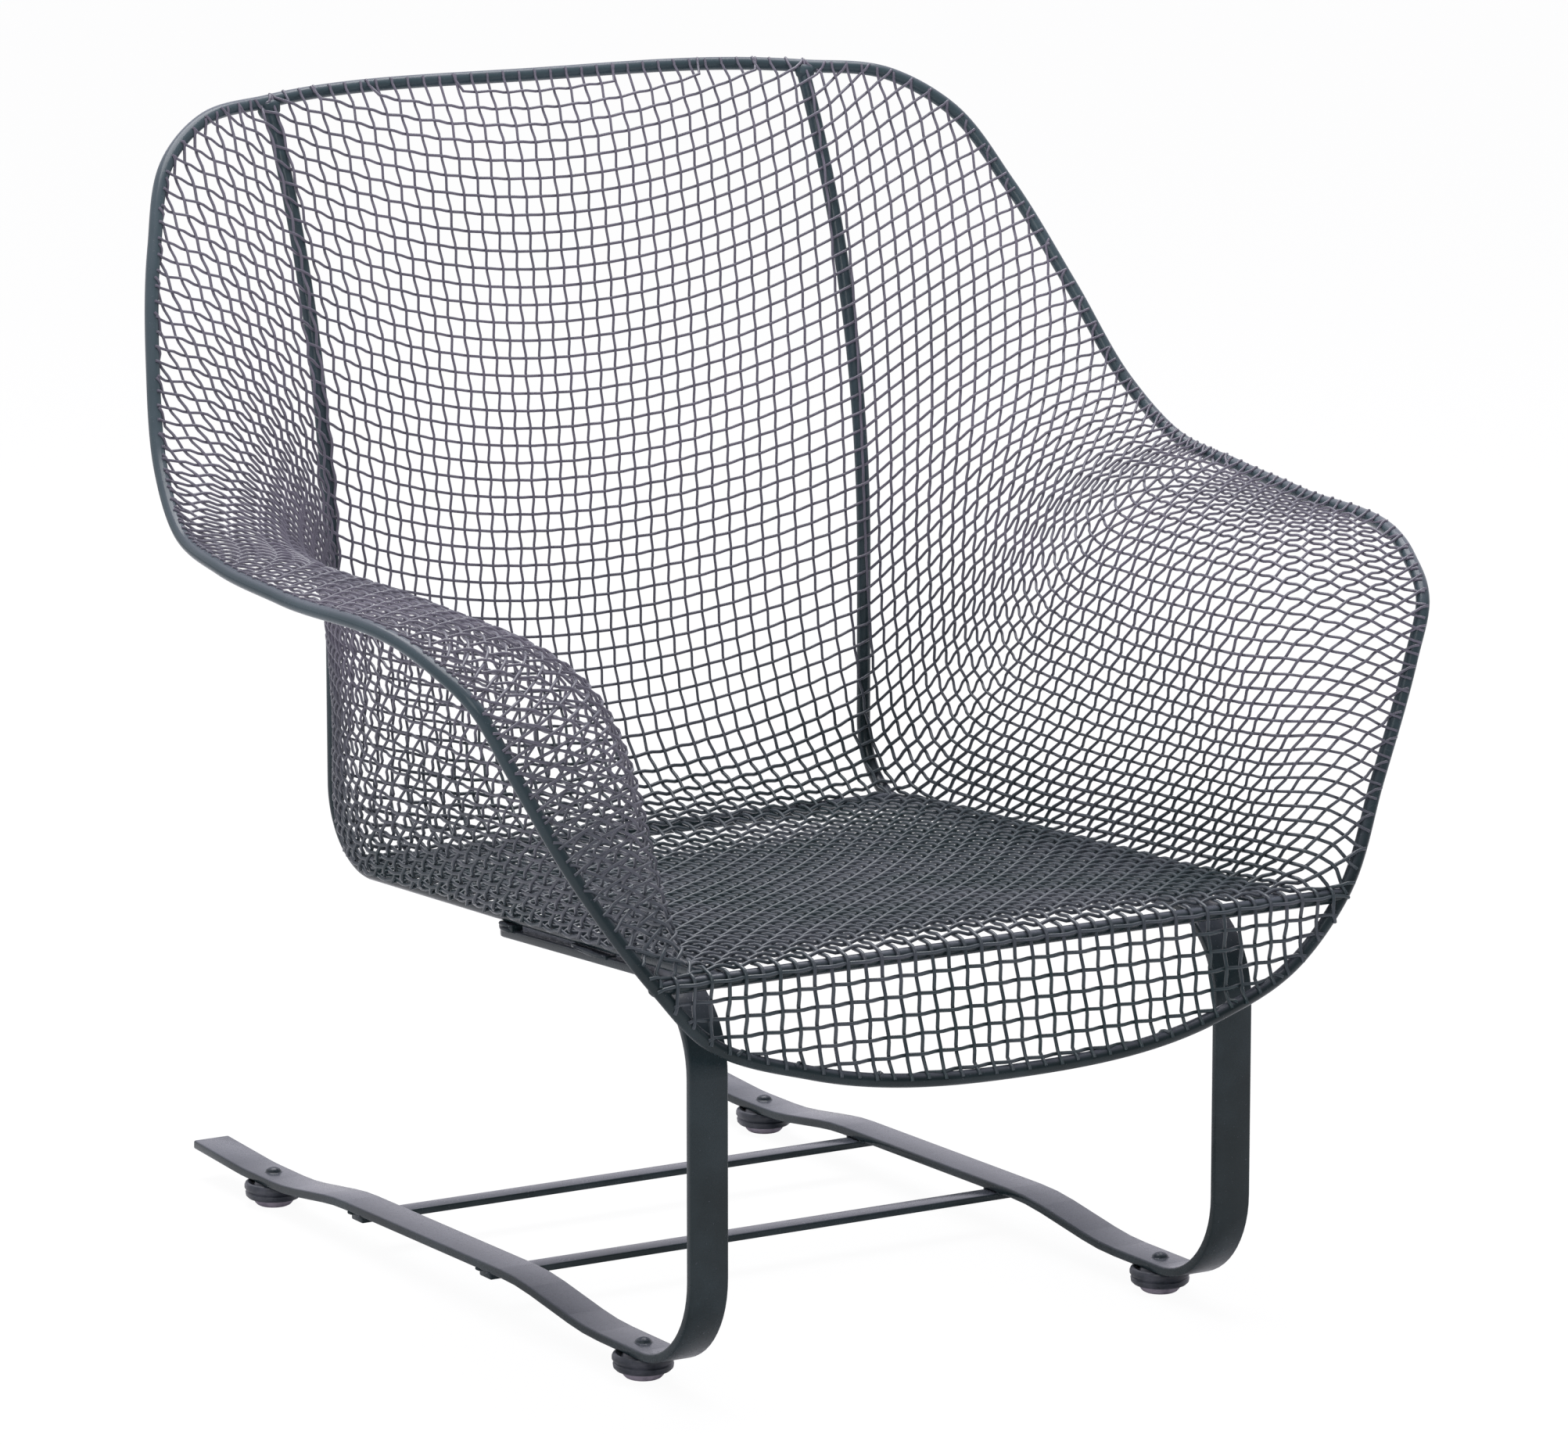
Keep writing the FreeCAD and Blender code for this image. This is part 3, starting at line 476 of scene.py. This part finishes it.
lean = math.asin((back_top_height - lean_start_height) / lean_radius)
rail_slope = math.atan2(crossbar_z - rail_corner_height, back_line - crossbar_y)
bend_angle = math.pi / 2 - rail_slope
bend_tangent = rear_bend_radius * math.tan(bend_angle / 2)
bend_centre = Vector((rib_x, back_line - rear_bend_radius, rail_corner_height + bend_tangent))
rib_points = []
for step in range(lean_steps + 1):
    angle = lean * (1 - step / lean_steps)
    rib_points.append(Vector((rib_x, back_line + lean_radius * (1 - math.cos(angle)),
                              lean_start_height + lean_radius * math.sin(angle))))
for step in range(bend_steps + 1):
    angle = bend_angle * step / bend_steps
    rib_points.append(bend_centre + Vector((0, math.cos(angle), -math.sin(angle))) * rear_bend_radius)
rail_start = rib_points[-1]
for step in range(1, rail_steps + 1):
    rib_points.append(rail_start.lerp(Vector((rib_x, crossbar_y, crossbar_z)), step / rail_steps))
rib_line = Line(rib_points)
rib_top = rib_points[0]

for side, route in (("right", rib_points), ("left", mirrored(rib_points))):
    rib = rods(f"rib_and_rail_{side}", [route], rod_radius, rod_facets, frame_paint)
    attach(rib, "seat")
    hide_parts(f"back_rib_{side}")

# Weld spacers: two small steel blocks each side, a short one behind and a longer one ahead, that
# stand on the spring bar's upper run and carry the seat rail. Welded to both along their sides.
rear_spacer_ahead = 0.017
rear_spacer_length = 0.018
front_spacer_ahead = 0.128
front_spacer_length = 0.046
spacer_edge_round = 0.001
spacer_bar_bite = 0.0006
spacer_rail_bite = 0.0012
lower_bead_rise = 0.0008
upper_bead_drop = 0.0012
spacer_bead_width = 0.0018
spacer_bead_height = 0.0016
spacer_bead_share = 0.44
bm = bmesh.new()
for side in ("right", "left"):
    low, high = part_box(f"bar_spacers_{side}")
    middle_x = (low.x + high.x) / 2
    width = high.x - low.x
    for y, length in ((upper_end - rear_spacer_ahead, rear_spacer_length),
                      (upper_end - front_spacer_ahead, front_spacer_length)):
        rail_z = rail_start.z + (rail_start.y - y) * math.tan(rail_slope)
        foot = upper_level + (upper_end - y) * upper_rise + bar_thickness / 2 - spacer_bar_bite
        height = rail_z - rod_radius + spacer_rail_bite - foot
        block = bmesh.ops.create_cube(bm, size=1)["verts"]
        bmesh.ops.scale(bm, verts=block, vec=(width, length, height))
        bmesh.ops.translate(bm, verts=block, vec=(middle_x, y, foot + height / 2))
        block_edges = {edge for vert in block for edge in vert.link_edges}
        bmesh.ops.bevel(bm, geom=list(block_edges), offset=spacer_edge_round, segments=2, profile=0.5,
                        affect="EDGES", material=-1)
        for level in (foot + lower_bead_rise, foot + height - upper_bead_drop):
            for face in (-1, 1):
                weld_bead(bm, Vector((middle_x + face * width / 2, y, level)),
                          (spacer_bead_width, length * spacer_bead_share, spacer_bead_height),
                          y * 70 + level * 300 + face)
spacers = finished("rail_spacers", bm, frame_paint)
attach(spacers, "seat")
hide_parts("bar_spacers_right", "bar_spacers_left")

# Crossbars: a straight steel rod between the rim's sides that the cloth rolls over at the front,
# and another between the ribs, low in their rear bends. Both are welded at their ends.
crossbar_bite = 0.002
front_bar = rods("crossbar_front", [[Vector((crossbar_lo.x - crossbar_bite, crossbar_y, crossbar_z)),
                                     Vector((crossbar_hi.x + crossbar_bite, crossbar_y, crossbar_z))]],
                 rod_radius, rod_facets, frame_paint)
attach(front_bar, "seat")
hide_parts("front_crossbar")

low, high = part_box("rear_crossbar")
rear_bar_y = (low.y + high.y) / 2
rear_bar_z = (low.z + high.z) / 2
rear_bar = rods("crossbar_rear", [[Vector((low.x, rear_bar_y, rear_bar_z)),
                                   Vector((high.x, rear_bar_y, rear_bar_z))]],
                rod_radius, rod_facets, frame_paint)
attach(rear_bar, "seat")
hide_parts("rear_crossbar")

# Rim: a steel rod bent round the whole edge of the bucket, over the top, down the wings, along
# the arms, and below the front crossbar as the apron's edge. Its two halves are butt-welded at
# the middle of the top and of the apron.
rim_radius = 0.00475
rim_point_reach = 0.0015
crossbar_overhang = 0.050
rim_stations = [
    (0, 0.266, 0.804), tuple(rib_top), (0.280, 0.232, 0.791), (0.316, 0.212, 0.768),
    (0.346, 0.176, 0.713), (0.371, 0.131, 0.642), (0.389, 0.085, 0.577), (0.399, 0.040, 0.544),
    (0.405, -0.031, 0.530), (0.402, -0.112, 0.522), (0.382, -0.271, 0.503), (0.368, -0.308, 0.478),
    (0.351, -0.319, 0.442), (0.311, -0.337, 0.364),
    (rib_x + crossbar_overhang, crossbar_y, crossbar_z),
    (0.229, -0.362, 0.255), (0.159, -0.373, 0.229), (0, -0.381, 0.213),
]
rim_stations = [Vector(station) for station in rim_stations]
rim_rib_station = 1
rim_crossbar_station = 14


def rim_heading(index):
    """Way the rim runs at a station. At both ends it crosses the middle line squarely."""
    if index == 0:
        return Vector((1, 0, 0))
    if index == len(rim_stations) - 1:
        return Vector((-1, 0, 0))
    before = rim_stations[index] - rim_stations[index - 1]
    after = rim_stations[index + 1] - rim_stations[index]
    return (before * (after.length / before.length) + after * (before.length / after.length)).normalized()


rim_points = [rim_stations[0]]
station_marks = [0]
for index, (start, finish) in enumerate(zip(rim_stations, rim_stations[1:])):
    reach = (finish - start).length / 3
    count = max(6, round(reach / rim_point_reach))
    rim_points += interpolate_bezier(start, start + rim_heading(index) * reach,
                                     finish - rim_heading(index + 1) * reach, finish, count)[1:]
    station_marks.append(len(rim_points) - 1)
rim_line = Line(rim_points)
rim_start = rim_line.marks[station_marks[rim_rib_station]]
rim_span = rim_line.marks[station_marks[rim_crossbar_station]] - rim_start

rim_ring = mirrored(rim_points[-2:0:-1]) + rim_points
rim = rods("rim", [rim_ring + rim_ring[:1]], rim_radius, rod_facets, frame_paint)
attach(rim, "seat")
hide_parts("rim_rod_right", "rim_rod_left")

# Woven wire cloth: crimped round steel wire in a plain weave, drawn over the ribs and the
# crossbar, with every wire's end laid over the rim on the sitter's side, tacked there, and
# painted thickly.
wire_radius = 0.00105
wire_facets = 6
pitches_between_ribs = 34
pitch = 2 * rib_x / pitches_between_ribs
weft_crimp = 0.0013
warp_crimp = 0.0009
crimp_flat = 0.2
cloth_lift = 0.0072
fold_reach = 0.016
fold_start = 0.45
fold_ease = 0.12
fold_dip = 0.16
spoke_points = 33

# In millimetres, at shares of the rib's length from its top: how the cloth leaves the rib (out,
# back, up), how it lands on the rim (out, back, up), how much further along the rim than its
# share, and how far the lengthwise wires have drifted outwards
cloth_stations = [
    (0.00, 8, 0, 4, 6, 0, 4, 0, 0),
    (0.08, 29, -2, 15, 29, 6, 10, 26, -5),
    (0.16, 42, -11, 24, 48, 4, 12, 34, -11),
    (0.25, 43, -22, 39, 62, 2, 9, 30, -15),
    (0.34, 42, -48, 59, 98, 8, 5, 18, -15),
    (0.42, 60, -80, 86, 134, 14, -4, -6, -9),
    (0.50, 70, -110, 120, 166, 30, -10, -35, 5),
    (0.58, 66, -122, 134, 188, 42, -15, -53, 3),
    (0.67, 70, -126, 116, 212, 50, -12, -69, -1),
    (0.78, 66, -108, 88, 222, 58, 8, -68, 3),
    (0.88, 44, -54, 48, 158, 42, 42, -70, 3),
    (0.96, 34, -12, 12, 92, 26, 38, -38, 0),
    (1.00, 20, 2, 1, 24, 4, 0, 0, 0),
]
# Between the ribs, in millimetres: how far the cloth hangs behind them and its wires sag
hang_stations = [
    (0.00, 12, 42), (0.10, 30, 43), (0.20, 41, 44), (0.30, 43, 44), (0.38, 30, 44), (0.42, 15, 42),
    (0.44, 3, 42), (0.47, -7, 42), (0.49, -8, 42), (0.51, -6, 41), (0.54, 2, 38), (0.58, 8, 34),
    (0.63, 9, 28), (0.70, 7, 21), (0.80, 3, 12), (0.90, -2, 4), (0.95, -4, 1), (0.975, -4, 0),
    (1.00, 0, 0),
]


def eased(stations, column, distance):
    """Metres between two stations, on a curve with no corner at a station."""
    share = distance / rib_line.length
    index = 0
    while index < len(stations) - 2 and share > stations[index + 1][0]:
        index += 1
    first, second = stations[index], stations[index + 1]
    before = stations[max(index - 1, 0)]
    after = stations[min(index + 2, len(stations) - 1)]
    width = second[0] - first[0]
    leave = (second[column] - before[column]) / (second[0] - before[0]) * width
    land = (after[column] - first[column]) / (after[0] - first[0]) * width
    part = min(max((share - first[0]) / width, 0.0), 1.0)
    rise = second[column] - first[column]
    return 0.001 * (first[column] + part * leave + part ** 2 * (3 * rise - 2 * leave - land)
                    + part ** 3 * (leave + land - 2 * rise))


def sitter_side(distance):
    """Square to the rib, towards the sitter."""
    heading = rib_line.heading(distance)
    return Vector((0, heading.z, -heading.y))


spokes = {}


def spoke(distance):
    """The cloth from the rib out to the rim, as one curve."""
    distance = min(max(distance, 0.0), rib_line.length)
    key = round(distance, 6)
    if key not in spokes:
        leave = Vector([eased(cloth_stations, column, distance) for column in (1, 2, 3)])
        land = Vector([eased(cloth_stations, column, distance) for column in (4, 5, 6)])
        shift = eased(cloth_stations, 7, distance)
        start = rib_line.at(distance) + sitter_side(distance) * cloth_lift
        finish = rim_line.at(rim_start + distance / rib_line.length * rim_span + shift)
        share = distance / rib_line.length
        fold = fold_reach * min(max((share - fold_start) / fold_ease, 0.0),
                                max((1 - share) / fold_ease, 0.0), 1.0)
        folded = start + Vector((fold, 0, -fold * fold_dip))
        rise = interpolate_bezier(folded, start + leave, finish - land, finish, spoke_points)
        spokes[key] = Line([start] + rise if fold > 1e-4 else rise)
    return spokes[key]


def cloth(distance, across):
    """Point of the cloth: down the rib, and across from the middle line."""
    if across > rib_x:
        return spoke(distance).at(across - rib_x)
    middle = 1 - (across / rib_x) ** 2
    lowered = distance + eased(hang_stations, 2, distance) * middle
    hollow = eased(hang_stations, 1, distance) * middle
    place = rib_line.at(lowered) + sitter_side(lowered) * (cloth_lift - hollow)
    return Vector((across, place.y, place.z))


def cloth_normal(distance, across, reach=0.004):
    along = cloth(distance + reach, across) - cloth(distance - reach, across)
    sideways = cloth(distance, across + reach) - cloth(distance, across - reach)
    return along.cross(sideways).normalized()


def drifted(distance, line):
    """Where a lengthwise wire crosses a place on the rib, out from the middle line."""
    return line + eased(cloth_stations, 8, distance) * min(line / rib_x, 1.0)


tack_reach = rim_radius + wire_radius * 0.35
tack_clearance = 0.0035
tack_lean_limit = 1.2
tack_lean_share = 0.6
tack_angles = [math.radians(angle) for angle in (34, 52, 70, 86)]


def tacked(route, place, normal):
    """A wire's end bent over the rim at place, on the sitter's side, less what lies inside the rim."""
    while len(route) > 2 and (route[-1] - place).length < tack_reach + tack_clearance:
        route = route[:-1]
    heading = rim_line.heading(rim_line.nearest(place))
    inward = route[-1] - place
    slant = inward.dot(heading)
    inward = inward - heading * slant
    lean = -min(max(slant / max(inward.length, 1e-6), -tack_lean_limit), tack_lean_limit)
    inward.normalize()
    over = normal - heading * normal.dot(heading) - inward * normal.dot(inward)
    over.normalize()
    hook = [place + (inward * math.cos(angle) + over * math.sin(angle)) * tack_reach
            + heading * (lean * tack_reach * (angle - math.pi / 2) * tack_lean_share)
            for angle in tack_angles]
    return route + hook


top_sag = eased(hang_stations, 2, 0.0)
weft_places = [pitch * count for count in range(-int(top_sag / pitch), int(rib_line.length / pitch) + 1)]
longest = max(spoke(distance).length for distance in weft_places)
line_count = pitches_between_ribs // 2 + int(longest / pitch)
warp_lines = [pitch * count for count in range(line_count)]


def half_width(distance):
    """How far the cloth goes out from the middle line. Above the ribs' tops only its sag is left."""
    if distance > 0:
        return rib_x + spoke(distance).length
    return rib_x * math.sqrt(max(1 + distance / top_sag, 0.0))


def top_rim(across):
    """Point of the rim's top edge, out from the middle line."""
    return min(rim_points[:station_marks[rim_rib_station] + 1], key=lambda point: abs(point.x - across))


def weft(row):
    """Crosswise wire from rim to rim, over and under every lengthwise wire."""
    distance = weft_places[row]
    reach = half_width(distance)
    right = []
    for column, line in enumerate(warp_lines):
        lift = weft_crimp * (1 if (row + column) % 2 else -1)
        middle = drifted(distance, line)
        for across in (middle - crimp_flat * pitch, middle + crimp_flat * pitch):
            if 0 < across < reach:
                right.append(cloth(distance, across) + cloth_normal(distance, across) * lift)
    end = spoke(distance).at(spoke(distance).length) if distance > 0 else top_rim(reach)
    right = tacked(right, end, cloth_normal(distance, reach - pitch))
    return mirrored(right[::-1]) + right


low_swell_share = 0.3
low_swell_top = 0.36
low_swell_fade = 0.05


def low_swell(place):
    """Wires low in the seat are drawn thicker, closing the cloth: the extra thickness stands in for the
    shade seen through it there.
    """
    return 1 + low_swell_share * min(max((low_swell_top - place.z) / low_swell_fade, 0.0), 1.0)


# As on the frame: the paler lavender colour is painted light and reflection higher up, and the top colour
# is dust with a painted sheen.
wire_paint = paint("wire_paint", deep=(0.030, 0.050, 0.055, 1), pale_and_lit=(0.225, 0.205, 0.265, 1),
                   dust_and_sheen=(0.110, 0.125, 0.140, 1), gloss=0.10, grain=1200.0, shine=0.5)
seat_row = next(row for row, distance in enumerate(weft_places)
                if rib_line.at(distance).y < back_line - rear_bend_radius)
for name, rows, node in (("cloth_wefts_back", range(seat_row), "weft_wires_back"),
                         ("cloth_wefts_seat", range(seat_row, len(weft_places)), "weft_wires_seat")):
    wires = rods(name, [weft(row) for row in rows], wire_radius, wire_facets, wire_paint, low_swell)
    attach(wires, "seat")
    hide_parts(node)

# Apron: the same steel wire cloth below the crossbar. The lengthwise wires roll over the bar and
# hang down to the rim's lower edge, with more crosswise wires woven through them and tacked.
roll_reach = rod_radius + wire_radius * 1.6
roll_angles = (0.0, 0.52, 1.05, 1.57)
roll_clearance = 0.004
apron_row_rise = 0.1
lower_line = rim_points[station_marks[rim_crossbar_station]:]


def lower_rim(across):
    """Point of the apron's edge, out from the middle line."""
    return min(lower_line, key=lambda point: abs(point.x - across))


def apron(across, drop):
    """Point of the apron a drop below the crossbar's middle."""
    bottom = lower_rim(across)
    share = min(max(drop / max(crossbar_z - bottom.z, 1e-6), 0.0), 1.0)
    top_y = crossbar_y - roll_reach
    return Vector((across, top_y + (bottom.y - top_y) * share, crossbar_z - drop))


forward = Vector((0, -1, 0))
apron_count = int((crossbar_z - lower_rim(0).z) / pitch) + 1
apron_rows = [pitch * (row - apron_row_rise) for row in range(apron_count)]


def apron_weft(row):
    """Crosswise wire of the apron, from the rim on one side to the rim on the other."""
    drop = apron_rows[row]
    edge = min(lower_line, key=lambda point: abs(point.z - (crossbar_z - drop)))
    right = []
    for column, line in enumerate(warp_lines):
        lift = weft_crimp * (1 if (row + column) % 2 else -1)
        for across in (line - crimp_flat * pitch, line + crimp_flat * pitch):
            if 0 < across < edge.x:
                right.append(apron(across, drop) + forward * lift)
    right = tacked(right, edge, forward)
    return mirrored(right[::-1]) + right


wires = rods("cloth_wefts_apron", [apron_weft(row) for row in range(apron_count)],
             wire_radius, wire_facets, wire_paint, low_swell)
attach(wires, "seat")
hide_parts("weft_wires_apron")


def over_crossbar(across, column):
    """Lower end of a lengthwise wire: round the crossbar and down the apron to the rim."""
    route = [Vector((across, crossbar_y - roll_reach * math.sin(angle),
                     crossbar_z + roll_reach * math.cos(angle))) for angle in roll_angles]
    bottom = lower_rim(across)
    for row, drop in enumerate(apron_rows):
        lift = warp_crimp * (-1 if (row + column) % 2 else 1)
        for place in (drop - crimp_flat * pitch, drop + crimp_flat * pitch):
            if crossbar_z - place > bottom.z and place > roll_clearance:
                route.append(apron(across, place) + forward * lift)
    return tacked(route, Vector((across, bottom.y, bottom.z)), forward)


def spare(distance, line):
    """Length of the cloth that is left between a lengthwise wire and the rim."""
    return half_width(distance) - drifted(distance, line)


def crossing(line, inside, outside):
    """Place on the rib, between two others, where a lengthwise wire meets the rim."""
    for _ in range(24):
        middle = (inside + outside) / 2
        if spare(middle, line) > 0:
            inside = middle
        else:
            outside = middle
    return inside


def warp(column):
    """Lengthwise wire: from the top rim down the back and seat, or from the wing round to the arm."""
    line = warp_lines[column]
    route = []
    shown = [row for row, distance in enumerate(weft_places) if spare(distance, line) > 0]
    for row in shown:
        lift = warp_crimp * (-1 if (row + column) % 2 else 1)
        for distance in (weft_places[row] - crimp_flat * pitch, weft_places[row] + crimp_flat * pitch):
            if spare(distance, line) > 0 and distance < rib_line.length - roll_clearance:
                across = drifted(distance, line)
                route.append(cloth(distance, across) + cloth_normal(distance, across) * lift)
    last = weft_places[shown[-1]]
    if spare(rib_line.length, line) > 0:
        route += over_crossbar(line, column)
    else:
        stop = spoke(crossing(line, last, min(last + pitch, rib_line.length)))
        route = tacked(route, stop.at(stop.length), cloth_normal(last, drifted(last, line) - pitch))
    first = weft_places[shown[0]]
    if line > rib_x + pitch / 2:
        start = spoke(crossing(line, first, max(first - pitch, 0.0)))
        place = start.at(start.length)
    else:
        place = Vector((line, top_rim(line).y, top_rim(line).z))
    normal = cloth_normal(first, max(drifted(first, line) - pitch, 0.0))
    return tacked(route[::-1], place, normal)[::-1]


warps = [warp(column) for column in range(len(warp_lines))]
rib_column = pitches_between_ribs // 2
middle_warps = warps[:rib_column + 1] + [mirrored(route) for route in warps[1:rib_column + 1]]
for name, routes, node in (
        ("cloth_warps_middle", middle_warps, "warp_wires_middle"),
        ("cloth_warps_right", warps[rib_column + 1:], "warp_wires_right"),
        ("cloth_warps_left", [mirrored(route) for route in warps[rib_column + 1:]], "warp_wires_left")):
    wires = rods(name, routes, wire_radius, wire_facets, wire_paint, low_swell)
    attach(wires, "seat")
    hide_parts(node)

# Welds of the seat frame: lumps of weld steel where the ribs meet the rim, and where the crossbars
# meet the rails and the rim's sides, painted over with the rest.
bm = bmesh.new()
for sign in (-1, 1):
    for index, (place, sizes) in enumerate((
            (rib_top + Vector((0, -0.004, -0.004)), (0.0075, 0.0045, 0.006)),
            (rib_top + Vector((0.004, -0.001, -0.007)), (0.004, 0.005, 0.005)),
            (Vector((rib_x, crossbar_y + 0.004, crossbar_z - 0.001)), (0.0075, 0.0055, 0.0052)),
            (Vector((crossbar_hi.x, crossbar_y + 0.002, crossbar_z)), (0.006, 0.0055, 0.0058)),
            (Vector((rib_x - 0.0055, rear_bar_y, rear_bar_z)), (0.0028, 0.0058, 0.0058)))):
        weld_bead(bm, Vector((sign * place.x, place.y, place.z)), sizes, index * 3.7 + sign)
welds = finished("frame_welds", bm, frame_paint)
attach(welds, "seat")

# Studio: a white floor that keeps a faint shadow, a white surround, a wide soft lamp overhead and
# a weak one from the front left.
floor_mesh = bmesh.new()
bmesh.ops.create_grid(floor_mesh, x_segments=1, y_segments=1, size=40)
floor_material = bpy.data.materials.new("studio_floor")
floor_material.use_nodes = True
tree = floor_material.node_tree
tree.nodes.clear()
seen = Shade(tree, tree.nodes.new("ShaderNodeLightPath").outputs["Is Camera Ray"])
matt = seen.node("ShaderNodeBsdfDiffuse", Color=(0.86, 0.85, 0.88, 1))
white = seen.node("ShaderNodeEmission", Color=(1, 1, 1, 1), Strength=1.05)
surface = seen.node("ShaderNodeMixShader", s0=seen * 0.9, s1=matt, s2=white)
seen.node("ShaderNodeOutputMaterial", Surface=surface)
floor = finished("studio_floor", floor_mesh, floor_material)

scene = bpy.context.scene
world = bpy.data.worlds.new("studio")
scene.world = world
world.use_nodes = True
tree = world.node_tree
tree.nodes.clear()
path = tree.nodes.new("ShaderNodeLightPath")
seen = Shade(tree, path.outputs["Is Camera Ray"])
shown = seen + Shade(tree, path.outputs["Is Glossy Ray"])
shown = shown + Shade(tree, path.outputs["Is Transmission Ray"])
soft = shown.node("ShaderNodeBackground", Color=(0.95, 0.94, 1.0, 1), Strength=0.45)
heading = seen.node("ShaderNodeTexCoord")
behind = seen.node("ShaderNodeSeparateXYZ", output=1, Vector=heading).ramp(-0.7, 0.5)
plain = seen.node("ShaderNodeBackground", Color=seen.mix((0.92, 0.90, 1.0, 1), (1, 1, 1, 1)),
                  Strength=seen + (1 - seen) * (0.3 + 0.7 * behind))
surround = shown.node("ShaderNodeMixShader", s0=shown, s1=soft, s2=plain)
shown.node("ShaderNodeOutputWorld", Surface=surround)


def lamp(name, place, aim, width, power):
    light = bpy.data.lights.new(name, "AREA")
    light.size = width
    light.energy = power
    holder = bpy.data.objects.new(name, light)
    holder.location = place
    holder.rotation_euler = (Vector(aim) - Vector(place)).to_track_quat("-Z", "Y").to_euler()
    bpy.context.collection.objects.link(holder)


lamp("overhead", (0.2, 0.6, 3.4), (0, 0, 0.3), 2.6, 90)
lamp("front_left", (-2.4, -2.6, 2.4), (0, 0, 0.4), 1.8, 22)

view_azimuth = math.radians(-31.404)
view_elevation = math.radians(11.152)
view_distance = 5.3648
view_target = Vector((0.07954, 0.05244, 0.3629))
view_level = math.cos(view_elevation)
back = Vector((math.sin(view_azimuth) * view_level, -math.cos(view_azimuth) * view_level,
               math.sin(view_elevation)))
camera = bpy.data.cameras.new("camera")
camera.sensor_width = 36
camera.lens = 175.3
viewer = bpy.data.objects.new("camera", camera)
viewer.location = view_target + back * view_distance
viewer.rotation_euler = back.to_track_quat("Z", "Y").to_euler()
bpy.context.collection.objects.link(viewer)
scene.camera = viewer
scene.view_settings.view_transform = "Standard"
